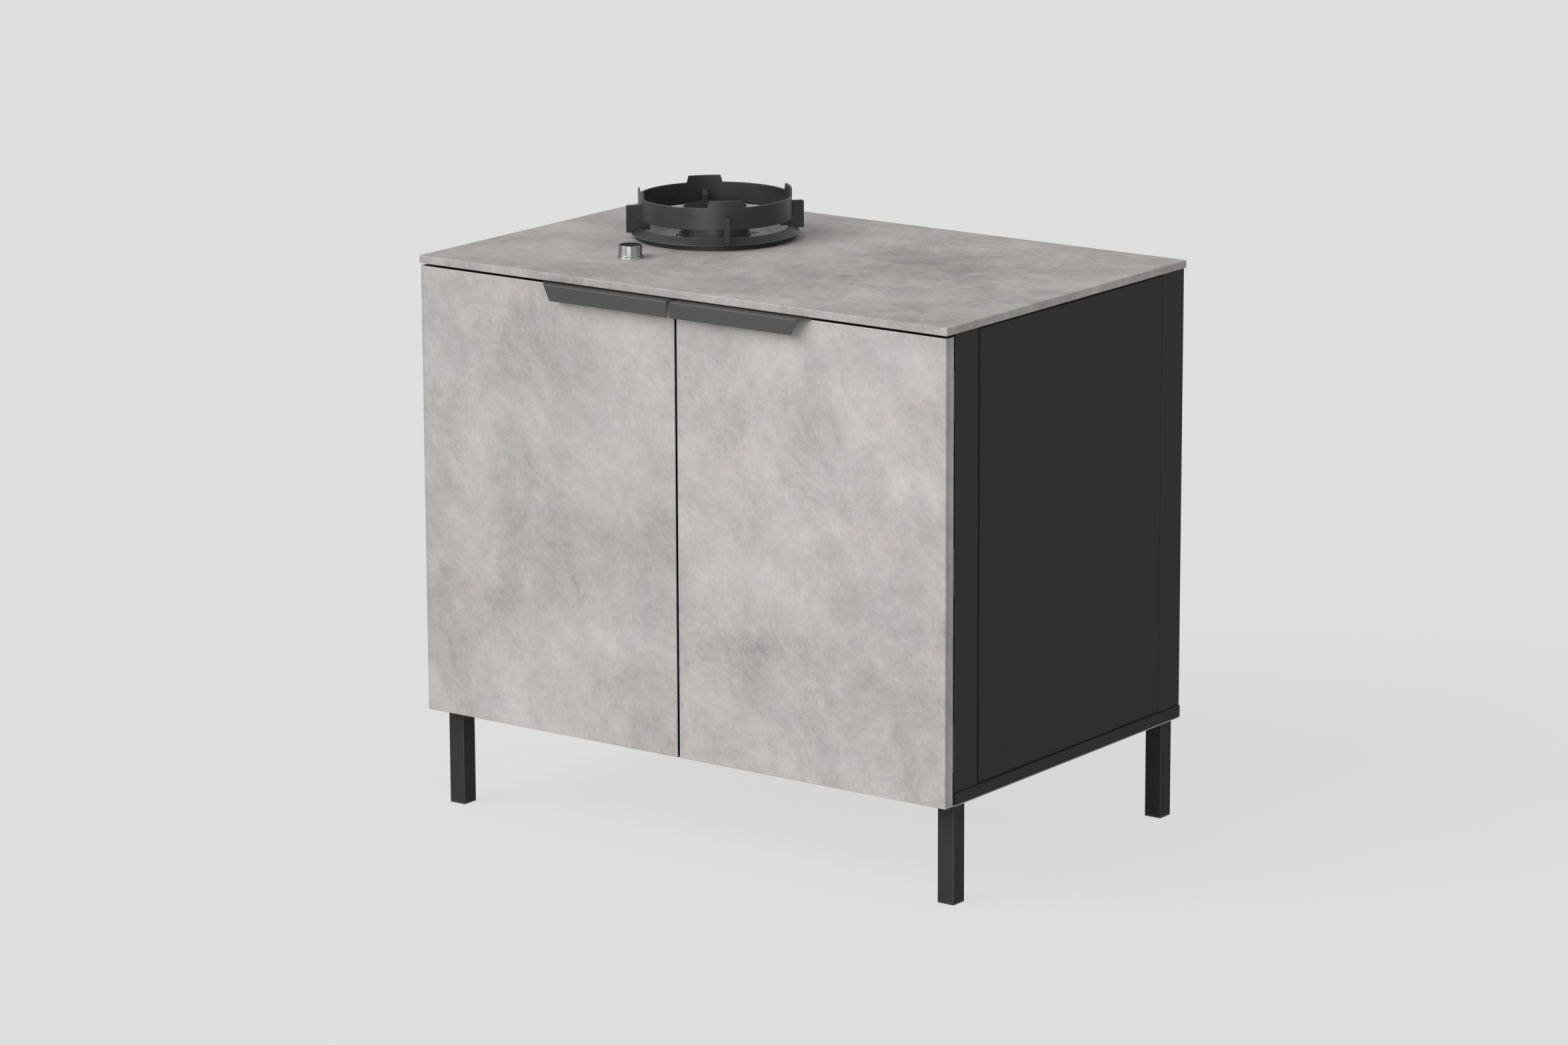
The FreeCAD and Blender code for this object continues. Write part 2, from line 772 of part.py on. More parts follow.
def catch_span():
    """X and Z extents of a right-hand catch, on the front top rail."""
    z = z_top - top_rail_size / 2
    return ((catch_centre - catch_length / 2, catch_centre + catch_length / 2),
            (z - catch_height / 2, z + catch_height / 2))


def door_catches():
    """Magnetic catches on the front top rail."""
    x, z = catch_span()
    y = (door_back + strike_thick + catch_air, carcass_front)
    body = box(x, y, z)
    face_edges = [e for e in body.Edges if all(abs(v.Y - y[0]) < 0.001 for v in e.Vertexes)]
    return both_sides([body.makeChamfer(catch_chamfer, face_edges)])


def strike_plate():
    """Steel plate on the door's back that meets the catch."""
    x, z = catch_span()
    return box(inner(x, -strike_margin), (door_back, door_back + strike_thick), inner(z, -strike_margin))


# ---- Burner ------------------------------------------------------------------------------


def base_ring():
    """Cast ring on the worktop: a foot, a crest and a sloped outer skirt."""
    under = ring_lip_height - ring_lip_thick
    return turned([(ring_inner_radius, 0), (ring_foot_radius, 0), (ring_foot_radius, under),
                   (ring_outer_radius - ring_lip_thick, under - ring_lip_thick), (ring_outer_radius, under),
                   (ring_outer_radius, ring_lip_height), (ring_crest_radius, ring_height),
                   (ring_inner_radius, ring_height)], burner)


def burner_dish():
    """Pressed steel dish inside the base ring, under the fixing plate."""
    rim = ring_inner_radius - seat_clear
    top = dish_rim_height
    half_sheet = dish_sheet / 2
    return turned([(dish_hole_radius, 0), (dish_floor_radius, 0), (rim - dish_rim_width, top - dish_sheet),
                   (rim, top - dish_sheet), (rim, top), (rim - dish_rim_width - half_sheet, top),
                   (dish_floor_radius - half_sheet, dish_sheet), (dish_hole_radius, dish_sheet)], burner)


def burner_holes(shape, deep):
    """Holes of the burner's screws, electrode and thermocouple through a plate."""
    shape = drilled(shape, [(p, Z) for p, a in burner_screw_spots()], screw_hole(burner_screw), deep)
    shape = drilled(shape, [(electrode_at, Z)], electrode_radius + seat_clear, deep)
    return drilled(shape, [(thermocouple_at, Z)], thermocouple_radius + seat_clear, deep)


def burner_plate():
    """Flat fixing plate on the dish, round the cup."""
    plate = rod(plate_radius, dish_sheet, plate_top, burner)
    plate = plate.cut(rod(cup_radius + hole_clear, dish_sheet, plate_top, burner))
    return burner_holes(plate, plate_top + overcut)


def burner_body():
    """Cast cup with a ledge on the fixing plate and an upright mixing tube."""
    low, wall, top = cup_low, cup_wall, cup_top
    ledge = cup_radius + cup_ledge
    bore = mixer_radius - mixer_wall
    return turned([(bore, mixer_low), (mixer_radius, mixer_low), (mixer_radius, low), (cup_radius, low),
                   (cup_radius, plate_top), (ledge, plate_top), (ledge, plate_top + cup_ledge_thick),
                   (cup_radius, plate_top + cup_ledge_thick), (cup_radius, top), (cup_radius - wall, top),
                   (cup_radius - wall, low + wall), (mixer_radius, low + wall),
                   (bore + mixer_mouth_lip, mixer_mouth_height), (bore, mixer_mouth_height)], burner)


def burner_clamp_ring():
    """Ring under the worktop that the burner's screws pull up."""
    ring = rod(clamp_radius, clamp_low, -worktop_thick, burner)
    ring = ring.cut(rod(cup_radius + clamp_play, clamp_low, -worktop_thick, burner))
    return burner_holes(ring, clamp_thick + worktop_thick + overcut)


def burner_screws():
    """Four long screws between the fixing plate and the clamp ring."""
    return group([facing(pan_headed(burner_screw), p + Z * plate_top, Z) for p, a in burner_screw_spots()])


def probe(at, radius, reach, tip):
    """Rod with a collar resting on the fixing plate and a thinner tip."""
    seat = plate_top
    collar = radius + probe_shoulder
    end = reach + probe_tip_length
    return turned([(0, -reach), (radius, -reach), (radius, seat), (collar, seat),
                   (collar, seat + probe_collar), (radius, seat + probe_collar), (radius, reach),
                   (tip, reach + probe_tip_taper), (tip, end), (0, end)], at)


def injector_holder():
    """Brass holder on the mixing tube, with air windows, a jet and the pipe's inlet."""
    low, grip = injector_low, mixer_low
    top = low + injector_height
    floor = low + injector_block
    sleeve = mixer_radius + seat_clear / 2
    bore = mixer_radius - mixer_wall
    body = turned([(0, low), (injector_radius, low), (injector_radius, top), (sleeve, top), (sleeve, grip),
                   (bore, grip), (bore, floor), (jet_radius, floor), (jet_nose_radius, floor + jet_height),
                   (0, floor + jet_height)], burner)
    window_z = inner((burner.z + floor, burner.z + grip), air_window_margin)
    window_y = (burner.y - air_window_width / 2, burner.y + air_window_width / 2)
    windows = box((burner.x - injector_radius, burner.x + injector_radius), window_y, window_z)
    body = body.cut(windows.cut(rod(bore - overcut, floor, grip, burner)))
    inlet = facing(rod(outlet_radius, 0, injector_radius / 2 + outlet_length),
                   burner + Vector(0, -injector_radius / 2, injector_inlet), -Y)
    socket = facing(rod(pipe_radius, 0, outlet_length / 2),
                    burner + Vector(0, -injector_radius - outlet_length / 2, injector_inlet), -Y)
    return body.fuse(inlet).cut(socket).removeSplitter()


def flame_ring():
    """Loose crown on the cup's rim, with gas ports cut across its top."""
    spigot = cup_radius - cup_wall - seat_clear
    foot = flame_low - flame_spigot
    crown = turned([(flame_inner_radius, foot), (spigot, foot), (spigot, flame_low),
                    (flame_outer_radius, flame_low), (flame_outer_radius, flame_top),
                    (flame_inner_radius, flame_top)], burner)
    cutter = box((cap_radius - port_inside_cap, flame_outer_radius + overcut),
                 (-port_width / 2, port_width / 2), (flame_top - port_depth, flame_top + overcut))
    ports = []
    for at, angle in around(port_count, 0, burner, 180 / port_count):
        port = cutter.copy()
        port.Placement = Placement(burner, Rotation(Z, angle))
        ports.append(port)
    return crown.cut(ports)


def burner_cap():
    """Domed cap with a spigot inside the flame ring."""
    low = flame_top + seat_clear
    spigot = flame_inner_radius - seat_clear
    edge = low + cap_edge
    top = edge + cap_dome
    foot = low - cap_spigot
    points = [Vector(0, 0, foot), Vector(spigot, 0, foot), Vector(spigot, 0, low),
              Vector(cap_radius, 0, low), Vector(cap_radius, 0, edge)]
    sphere = (cap_radius ** 2 + cap_dome ** 2) / (2 * cap_dome)
    half = cap_radius / 2
    rise = (sphere ** 2 - half ** 2) ** 0.5 - (sphere - cap_dome)
    dome = Part.Arc(points[-1], Vector(half, 0, edge + rise), Vector(0, 0, top)).toShape()
    lines = [Part.makeLine(a, b) for a, b in zip(points, points[1:])]
    outline = Part.Wire(lines + [dome, Part.makeLine(Vector(0, 0, top), points[0])])
    cap = Part.Face(outline).revolve(Vector(), Z, 360)
    cap.translate(burner)
    return cap


def pan_support():
    """Round band with four tabs on its rim and four radial fins that sit on the base ring."""
    rim = band_low + band_height
    inside = band_radius - band_thick
    band = rod(band_radius, band_low, rim, burner).cut(rod(inside, band_low, rim, burner))
    crown = rod(band_radius, rim, rim + tab_height, burner)
    crown = crown.cut(rod(inside, rim, rim + tab_height, burner))
    slope = (ring_height - ring_lip_height) / (ring_outer_radius - ring_crest_radius)
    foot = ring_crest_radius + (ring_height + seat_clear - fin_low) / slope
    crest = ring_height + seat_clear
    heel = ring_inner_radius - 2 * seat_clear
    heel_low = dish_rim_height + fin_heel_rise
    high = fin_low + fin_height
    side = [(foot, fin_low), (fin_outer_radius, fin_low), (fin_outer_radius, high - fin_corner),
            (fin_outer_radius - fin_corner, high), (fin_inner_radius + fin_chamfer, high),
            (fin_inner_radius, high - fin_chamfer), (fin_inner_radius, heel_low),
            (heel, heel_low), (heel, crest), (ring_crest_radius, crest)]
    fin = prism([Vector(r, -fin_thick / 2, z) for r, z in side], Y * fin_thick)
    near = (inside ** 2 - (tab_base / 2) ** 2) ** 0.5 - overcut
    outline = [(-tab_base / 2, rim), (tab_base / 2, rim), (tab_top / 2, rim + tab_height),
               (-tab_top / 2, rim + tab_height)]
    tab = prism([Vector(near, y, z) for y, z in outline], X * (band_radius + overcut - near))
    pieces = [band]
    for at, angle in around(fin_count, 0, burner, 180 / fin_count):
        arm, wedge = fin.copy(), tab.copy()
        arm.Placement = Placement(burner, Rotation(Z, angle))
        wedge.Placement = Placement(burner, Rotation(Z, angle))
        pieces += [arm, crown.common(wedge)]
    return joined(pieces)


# ---- Tap and knob ------------------------------------------------------------------------


def gas_tap():
    """Tap body hung from the worktop by its threaded spigot, inlet stub below, outlet behind."""
    under = -worktop_thick
    neck = stem_radius + running_clear
    chamber = plunger_radius + running_clear
    floor = -chamber_top - chamber_depth
    body = turned([(neck, tap_nut_thick), (spigot_radius, tap_nut_thick), (spigot_radius, under),
                   (tap_flange_radius, under), (tap_flange_radius, under - tap_flange_thick),
                   (tap_radius, under - tap_flange_thick),
                   (tap_radius, -tap_depth), (inlet_radius, -tap_depth),
                   (inlet_radius, -tap_depth - inlet_length), (inlet_bore, -tap_depth - inlet_length),
                   (inlet_bore, floor - tap_floor), (0, floor - tap_floor), (0, floor), (chamber, floor),
                   (chamber, -chamber_top), (neck, -chamber_top)], tap)
    inside = (chamber + tap_radius) / 2
    outlet = facing(rod(outlet_radius, inside, tap_radius + outlet_length),
                    tap - Z * outlet_drop, Y)
    mouth = tap + Vector(0, tap_radius + outlet_length / 2, -outlet_drop)
    bore = facing(rod(pipe_radius, 0, outlet_length / 2), mouth, Y)
    return body.fuse(outlet).cut(bore).removeSplitter()


def tap_nut():
    """Hexagon nut that clamps the tap to the worktop, hidden under the knob."""
    nut = hexagon(tap_nut_flats, 0, tap_nut_thick, tap)
    return nut.cut(rod(spigot_radius + hole_clear, 0, tap_nut_thick, tap))


def tap_plunger():
    """Sprung plunger in the tap's chamber, pushed down by the stem."""
    high = -chamber_top - stem_foot_thick - 2 * seat_clear
    return rod(plunger_radius, high - plunger_length, high, tap)


def valve_stem():
    """Stem with a foot held in the chamber and a flat for the knob."""
    foot_top = -chamber_top - seat_clear
    foot_low = foot_top - stem_foot_thick
    tip = hub_low + hub_depth
    stem = turned([(0, foot_low), (stem_foot_radius, foot_low), (stem_foot_radius, foot_top),
                   (stem_radius, foot_top), (stem_radius, tip), (0, tip)], tap)
    flat = box((tap.x + stem_radius - stem_flat, tap.x + stem_radius + overcut),
               (tap.y - stem_radius, tap.y + stem_radius), (tap.z + hub_low, tap.z + tip))
    return stem.cut(flat)


def knob():
    """Hollow metal knob with a hub on the stem's flat and a recess for its top cap."""
    wall, bore = knob_wall, stem_radius + running_clear
    roof = hub_low + hub_depth
    seat = knob_high - knob_cap_thick
    rim = knob_cap_radius + knob_cap_clear
    shell = turned([(knob_radius - wall, knob_low), (knob_radius, knob_low),
                    (knob_radius, knob_high - knob_edge), (knob_radius - knob_edge, knob_high),
                    (rim, knob_high), (rim, seat), (0, seat), (0, roof), (bore, roof), (bore, hub_low),
                    (hub_radius, hub_low), (hub_radius, roof), (knob_radius - wall, roof)], tap)
    flat = box((tap.x + bore - stem_flat, tap.x + bore), (tap.y - bore, tap.y + bore),
               (tap.z + hub_low, tap.z + roof))
    return joined([shell, rod(bore, hub_low, roof, tap).common(flat)])


def knob_cap():
    """Dark disc set flush in the knob's top."""
    return rod(knob_cap_radius, knob_high - knob_cap_thick, knob_high, tap)


def knob_bezel():
    """Flared ring on the worktop that the knob's lower edge runs inside."""
    bore = knob_radius + bezel_gap
    return turned([(bore, 0), (bezel_radius, 0), (bezel_radius, bezel_foot),
                   (bore + bezel_lip, bezel_height), (bore, bezel_height)], tap)


def bent_path(points, radius):
    """Wire through points with an arc at each corner."""
    edges = []
    start = points[0]
    for before, at, after in zip(points, points[1:], points[2:]):
        come = (at - before).normalize()
        go = (after - at).normalize()
        back = radius * (1 - come.dot(go)) / come.cross(go).Length
        enter, leave = at - come * back, at + go * back
        bisector = (go - come).normalize()
        reach = (radius ** 2 + back ** 2) ** 0.5 - radius
        edges.append(Part.makeLine(start, enter))
        edges.append(Part.Arc(enter, at + bisector * reach, leave).toShape())
        start = leave
    edges.append(Part.makeLine(start, points[-1]))
    return Part.Wire(edges)


def gas_pipe():
    """Rigid pipe from the tap's outlet to the injector holder, stepping down on the way."""
    start = tap + Vector(0, tap_radius + outlet_length / 2 + seat_clear, -outlet_drop)
    end = burner + Vector(0, -injector_radius - outlet_length / 2 - seat_clear, injector_inlet)
    middle = (start + end) / 2
    rise = abs(start.z - end.z)
    path = bent_path([start, Vector(start.x, middle.y - rise / 2, start.z),
                      Vector(end.x, middle.y + rise / 2, end.z), end], pipe_bend)

    def swept(radius):
        ring = Part.Wire(Part.makeCircle(radius, start, Y))
        return path.makePipeShell([ring], True, False)

    return swept(pipe_radius - running_clear).cut(swept(pipe_radius - pipe_wall))


# ---- Assembly ----------------------------------------------------------------------------

electrode = probe(electrode_at, electrode_radius, electrode_reach, electrode_tip_radius)
thermocouple = probe(thermocouple_at, thermocouple_radius, thermocouple_reach, thermocouple_tip_radius)

nodes = {
    "worktop": worktop(),
    "top_rail_front": top_rail_across(True),
    "top_rail_rear": top_rail_across(False),
    "base_rail_front": base_rail(0),
    "base_rail_right": base_rail(1),
    "base_rail_rear": base_rail(2),
    "base_rail_left": base_rail(3),
    "bottom_panel": bottom_panel(),
    "back_panel": back_panel(),
    "foot_caps": foot_caps(),
    "leg_bolts": leg_bolts(),
    "panel_screws": panel_screws(),
    "door_catches": door_catches(),
    "hinge_frame_leaves": both_sides(hinge_leaves(False)),
    "hinge_frame_screws": both_sides(hinge_screws(False)),
    "hinge_pins": both_sides(hinge_pins()),
    "base_ring": base_ring(),
    "burner_dish": burner_dish(),
    "burner_plate": burner_plate(),
    "burner_body": burner_body(),
    "burner_clamp_ring": burner_clamp_ring(),
    "burner_screws": burner_screws(),
    "spark_electrode": electrode,
    "thermocouple": thermocouple,
    "injector_holder": injector_holder(),
    "gas_pipe": gas_pipe(),
    "gas_tap": gas_tap(),
    "tap_nut": tap_nut(),
    "knob_bezel": knob_bezel(),
    "flame_ring": flame_ring(),
    "burner_cap": burner_cap(),
    "pan_support": pan_support(),
    "tap_plunger": tap_plunger(),
    "valve_stem": valve_stem(),
    "knob": knob(),
    "knob_cap": knob_cap(),
}

# Right-hand pieces; each has a mirrored copy on the left.
right_hand = {
    "post_front_{}": post(True),
    "post_rear_{}": post(False),
    "top_rail_{}": top_rail_side(),
    "side_panel_{}": side_panel(),
    "leg_front_{}": leg(True),
    "leg_rear_{}": leg(False),
    "{}_hinge_door_leaves": group(hinge_leaves(True)),
    "{}_door_screws": door_screws(),
    "{}_door_slab": door_slab(),
    "{}_door_back": door_back_pan(),
    "{}_handle": handle(),
    "{}_strike_plate": strike_plate(),
}
for name, shape in right_hand.items():
    nodes[name.format("right")] = shape
    nodes[name.format("left")] = mirrored(shape)

os.makedirs("parts", exist_ok=True)
for name, shape in nodes.items():
    shape.exportStep("parts/" + name + ".step")
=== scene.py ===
# %% [markdown]
# # A kitchen island unit, dressed for its portrait
# The unit is a black steel cabinet on four legs, with two doors and a worktop in a pale
# concrete-look slab, and one gas burner with its knob on top. Its solids come from the CAD
# model, already in metres and in place. This lesson gives each of them a finish, softens the
# edges that the eye is drawn to, turns the knob again in finer form, and sets up the studio.

# %% Load the solids
import math

import bmesh
import bpy
from mathutils import Matrix, Vector
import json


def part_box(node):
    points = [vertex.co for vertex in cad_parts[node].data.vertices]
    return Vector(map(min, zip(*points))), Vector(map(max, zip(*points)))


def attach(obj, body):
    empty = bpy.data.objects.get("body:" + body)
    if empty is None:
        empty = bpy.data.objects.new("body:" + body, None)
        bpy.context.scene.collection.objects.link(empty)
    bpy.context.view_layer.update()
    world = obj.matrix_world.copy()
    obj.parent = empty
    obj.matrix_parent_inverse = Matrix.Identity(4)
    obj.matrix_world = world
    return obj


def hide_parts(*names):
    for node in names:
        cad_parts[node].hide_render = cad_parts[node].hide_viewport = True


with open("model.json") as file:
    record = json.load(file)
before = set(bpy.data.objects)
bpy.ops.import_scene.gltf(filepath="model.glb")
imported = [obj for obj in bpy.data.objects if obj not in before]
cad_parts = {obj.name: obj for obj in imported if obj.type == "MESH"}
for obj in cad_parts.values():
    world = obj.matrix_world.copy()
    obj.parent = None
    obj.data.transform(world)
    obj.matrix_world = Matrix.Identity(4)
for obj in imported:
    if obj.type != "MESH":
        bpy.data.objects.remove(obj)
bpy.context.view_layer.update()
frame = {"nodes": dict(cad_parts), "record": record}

# %% [markdown]
# ## The camera
# The photograph was taken with a long lens from the right and a little above, so upright
# lines hardly lean together. A camera could be nudged by eye until the picture looks right,
# but the corners of the worktop, doors and legs settle it better: the place, the turn and the
# lens below are the ones that put all of those corners where the photograph has them.

# %% Camera
CAMERA_PLACE = Vector((5.29725, -7.26756, 2.60332))
CAMERA_YAW, CAMERA_PITCH, CAMERA_ROLL = (math.radians(a) for a in (36.24, -13.34, -0.22))
SENSOR_WIDTH = 36.0             # millimetres, as lenses are
FRAME_WIDTH = 2352              # pixels of the finished picture
FOCAL_LENGTH = 8838.17          # in the same pixels
FAR_ENOUGH = 200.0              # past the rim of the floor

lens = bpy.data.cameras.new("long_lens")
lens.sensor_width = SENSOR_WIDTH
lens.lens = FOCAL_LENGTH * SENSOR_WIDTH / FRAME_WIDTH
lens.clip_end = FAR_ENOUGH
camera = bpy.data.objects.new("camera", lens)
camera.matrix_world = (
    Matrix.Translation(CAMERA_PLACE)
    @ Matrix.Rotation(CAMERA_YAW, 4, "Z")
    @ Matrix.Rotation(math.pi / 2 + CAMERA_PITCH, 4, "X")
    @ Matrix.Rotation(CAMERA_ROLL, 4, "Z")
)
bpy.context.scene.collection.objects.link(camera)
bpy.context.scene.camera = camera
bpy.context.scene.view_settings.view_transform = "Standard"
print("lens:", round(lens.lens, 2), "mm")

# %% [markdown]
# ## Tones
# A photograph's greys are display values from 0 to 255, while a shader works in linear
# light. One helper turns such a tone into the number that the shader needs, so the recipes
# below can speak of a grey of 180 as a photographer would.

# %% Tones
def to_linear(level):
    return level / 12.92 if level <= 0.04045 else ((level + 0.055) / 1.055) ** 2.4


def tone(red, green=None, blue=None):
    """A display tone, 0 to 255, as a linear colour; one number gives a grey."""
    shades = (red, red if green is None else green, red if blue is None else blue)
    return tuple(to_linear(s / 255) for s in shades) + (1.0,)


BACKDROP = tone(223)
print("backdrop:", round(BACKDROP[0], 3))

# %% [markdown]
# ## Nodes in one line
# A finish is a small web of nodes. Wiring it by hand takes a line for each link, and the
# recipe is lost among them. These helpers add a node, set its options and fill its sockets,
# each with a number or with a link from another node, so that a recipe reads from top to
# bottom as it would be said.

# %% Node helpers
def fill(tree, node, inputs):
    """Gives each named socket of a node its number or its link."""
    for socket, value in inputs.items():
        if isinstance(value, bpy.types.NodeSocket):
            tree.links.new(value, node.inputs[socket])
        else:
            node.inputs[socket].default_value = value
    return node


def add(tree, kind, inputs=None, **options):
    """Adds a shader node to a tree, with its options set and its sockets filled."""
    node = tree.nodes.new("ShaderNode" + kind)
    for option, value in options.items():
        setattr(node, option, value)
    return fill(tree, node, inputs or {})


def use(tree, group, inputs):
    """Places a node group in a tree, and returns its outputs."""
    node = tree.nodes.new("ShaderNodeGroup")
    node.node_tree = group
    return fill(tree, node, inputs).outputs


def maths(tree, operation, *values, clamp=False):
    """One sum on numbers or links, and its result."""
    node = add(tree, "Math", dict(enumerate(values)), operation=operation, use_clamp=clamp)
    return node.outputs[0]


def vector_maths(tree, operation, *values):
    """One sum on vectors or colours, and its result."""
    return add(tree, "VectorMath", dict(enumerate(values)), operation=operation).outputs[0]


def split(tree, vector):
    """The three numbers of a vector."""
    return add(tree, "SeparateXYZ", {0: vector}).outputs


def joined(tree, *numbers):
    """A vector made of three numbers."""
    return add(tree, "CombineXYZ", dict(enumerate(numbers))).outputs[0]


def new_group(name, inputs, outputs):
    """An empty node group, what it takes in, and the node that gives its results."""
    group = bpy.data.node_groups.new(name, "ShaderNodeTree")
    for socket, value in inputs.items():
        kind = "NodeSocketVector" if value == "vector" else "NodeSocketFloat"
        made = group.interface.new_socket(name=socket, in_out="INPUT", socket_type=kind)
        if value != "vector":
            made.default_value = value
    for socket in outputs:
        group.interface.new_socket(name=socket, in_out="OUTPUT", socket_type="NodeSocketFloat")
    return group, group.nodes.new("NodeGroupInput").outputs, group.nodes.new("NodeGroupOutput")


print("node helpers:", [helper.__name__ for helper in (
    fill, add, use, maths, vector_maths, split, joined, new_group)])

# %% [markdown]
# ## Shared effects
# Several finishes need the same few effects, so each effect is a node group that is built
# once, and every material places it with its own values. **Mottle** is the commonest, a
# cloudiness around zero: a fractal noise less its mean, times a contrast. Added to one and
# multiplied into a colour, it makes the colour wander without changing it on average.
# Concrete, paint and cast metal all wander, at different sizes. The wisp bends the noise by
# itself, which draws its spots out into ragged shreds.

# %% Mottle group
mottle, taken, given = new_group(
    "Mottle", {"Vector": "vector", "Size": 0.1, "Detail": 2.0, "Evenness": 0.5, "Wisp": 0.0,
               "Contrast": 0.1}, ["Shift"])
noise = add(mottle, "TexNoise", {
    "Vector": taken["Vector"],
    "Scale": maths(mottle, "DIVIDE", 1.0, taken["Size"]),
    "Detail": taken["Detail"],
    "Roughness": taken["Evenness"],
    "Distortion": taken["Wisp"]})
centred = maths(mottle, "SUBTRACT", noise.outputs[0], 0.5)
fill(mottle, given, {"Shift": maths(mottle, "MULTIPLY", centred, taken["Contrast"])})


def wandering(tree, place, size, detail, evenness, contrast, wisp=0.0):
    """A mottle on these coordinates, as a shift around zero."""
    return use(tree, mottle, {"Vector": place, "Size": size, "Detail": detail,
                              "Evenness": evenness, "Wisp": wisp, "Contrast": contrast})[0]


print("group:", mottle.name)

# %% [markdown]
# ** Broken edges** finds the narrow bevels round a piece. They could be painted by hand, but
# the surface itself tells where they are: on a bevel it faces between the main directions,
# so the largest part of its normal falls below one. Bevels are where a slab shows its
# lighter core and where paint is thinnest, and the finishes that use this mask also lighten
# them as a painted highlight of the light that a rounded edge catches.

# %% Broken edges group
edges, taken, given = new_group("Broken edges", {"Normal": "vector", "Width": 0.04}, ["Edge"])
sizes = [maths(edges, "ABSOLUTE", part) for part in split(edges, taken["Normal"])]
largest = maths(edges, "MAXIMUM", maths(edges, "MAXIMUM", sizes[0], sizes[1]), sizes[2])
short_by = maths(edges, "SUBTRACT", 1.0, largest)
fill(edges, given, {"Edge": maths(edges, "DIVIDE", short_by, taken["Width"], clamp=True)})
print("group:", edges.name)

# %% [markdown]
# **Turning marks** are the fine rings that a lathe leaves. They depend only on the distance
# from the axis and the height, so the pattern is a noise on those two numbers. A perfect
# ring would look drawn, so a little of the angle goes in as well and breaks the rings up.

# %% Turning marks group
ANGLE_SHARE = 0.0006            # metres of pattern for each radian round the axis

turning, taken, given = new_group(
    "Turning marks", {"Vector": "vector", "Pitch": 0.0004, "Contrast": 1.0}, ["Rings"])
x, y, z = split(turning, taken["Vector"])
radius = maths(turning, "SQRT", maths(
    turning, "ADD", maths(turning, "MULTIPLY", x, x), maths(turning, "MULTIPLY", y, y)))
angle = maths(turning, "MULTIPLY", maths(turning, "ARCTAN2", y, x), ANGLE_SHARE)
rings = add(turning, "TexNoise", {
    "Vector": joined(turning, radius, z, angle),
    "Scale": maths(turning, "DIVIDE", 1.0, taken["Pitch"]),
    "Detail": 3.0})
centred = maths(turning, "SUBTRACT", rings.outputs[0], 0.5)
fill(turning, given, {"Rings": maths(turning, "MULTIPLY", centred, taken["Contrast"])})
print("group:", turning.name)

# %% [markdown]
# **Long grain** is a noise stretched far along one direction: the trowel strokes in concrete,
# and the brushed lines of rolled steel. The turn lays the grain, and the stretch says how
# many times longer than wide each stroke is.

# %% Long grain group
grain, taken, given = new_group(
    "Long grain", {"Vector": "vector", "Turn": "vector", "Width": 0.001, "Stretch": 20.0,
                   "Detail": 2.0, "Contrast": 1.0}, ["Grain"])
turned = add(grain, "VectorRotate", {"Vector": taken["Vector"], "Rotation": taken["Turn"]},
             rotation_type="EULER_XYZ")
x, y, z = split(grain, turned.outputs[0])
along = maths(grain, "DIVIDE", x, taken["Stretch"])
strokes = add(grain, "TexNoise", {
    "Vector": joined(grain, along, y, z),
    "Scale": maths(grain, "DIVIDE", 1.0, taken["Width"]),
    "Detail": taken["Detail"]})
centred = maths(grain, "SUBTRACT", strokes.outputs[0], 0.5)
fill(grain, given, {"Grain": maths(grain, "MULTIPLY", centred, taken["Contrast"])})
print("group:", grain.name)

# %% [markdown]
# **Cloud** is one soft spot in a printed pattern: full at its centre, gone at its reach, with
# a rim that a noise makes ragged. A print has a few such large clouds at known places, and
# chance alone would put them elsewhere, so these few are placed and the noise does the rest.

# %% Cloud group
cloud, taken, given = new_group(
    "Cloud", {"Vector": "vector", "Centre": "vector", "Reach": "vector", "Rag": 0.0}, ["Mask"])
offset = vector_maths(cloud, "SUBTRACT", taken["Vector"], taken["Centre"])
reached = vector_maths(cloud, "DIVIDE", offset, taken["Reach"])
far = add(cloud, "VectorMath", {0: reached}, operation="LENGTH").outputs["Value"]
rim = maths(cloud, "ADD", far, taken["Rag"])
soft = add(cloud, "MapRange", {"Value": rim, "From Min": 1.0, "From Max": 0.1},
           interpolation_type="SMOOTHSTEP")
fill(cloud, given, {"Mask": soft.outputs[0]})
print("group:", cloud.name)

# %% [markdown]
# ## A finish to start from
# Every material starts the same way: a shader, the object's own coordinates, and a colour
# that is shaded lighter and darker by the sum of its effects. The object's coordinates are
# used and not an unwrapped map, because they are in metres and run on over every face. The
# helpers keep those few nodes, and each material then only says what is its own.

# %% Finish helpers
def new_finish(name):
    """A material, its tree and shader, and the object's coordinates and normal."""
    material = bpy.data.materials.new(name)
    material.use_nodes = True
    tree = material.node_tree
    place = add(tree, "TexCoord").outputs
    return material, tree, tree.nodes["Principled BSDF"], place["Object"], place["Normal"]


def shaded(tree, colour, *shifts):
    """A colour made lighter and darker by effects that are centred on zero."""
    level = 1.0
    for shift in shifts:
        level = maths(tree, "ADD", level, shift)
    scaled = add(tree, "VectorMath", {0: colour[:3], "Scale": level}, operation="SCALE")
    return scaled.outputs[0]


def about(tree, level, effect, share):
    """A level that wanders with a share of an effect."""
    return maths(tree, "ADD", level, maths(tree, "MULTIPLY", effect, share))


def tinted(tree, colour, tint):
    return vector_maths(tree, "MULTIPLY", colour, tint)


def mixed(tree, amount, first, second):
    """The first colour, with an amount of the second in it."""
    return add(tree, "Mix", {0: amount, 6: first, 7: second}, data_type="RGBA").outputs[2]


def raised(tree, height, distance):
    """The normal of a surface with this height, in units of the distance."""
    return add(tree, "Bump", {"Height": height, "Distance": distance,
                              "Strength": 1.0}).outputs[0]


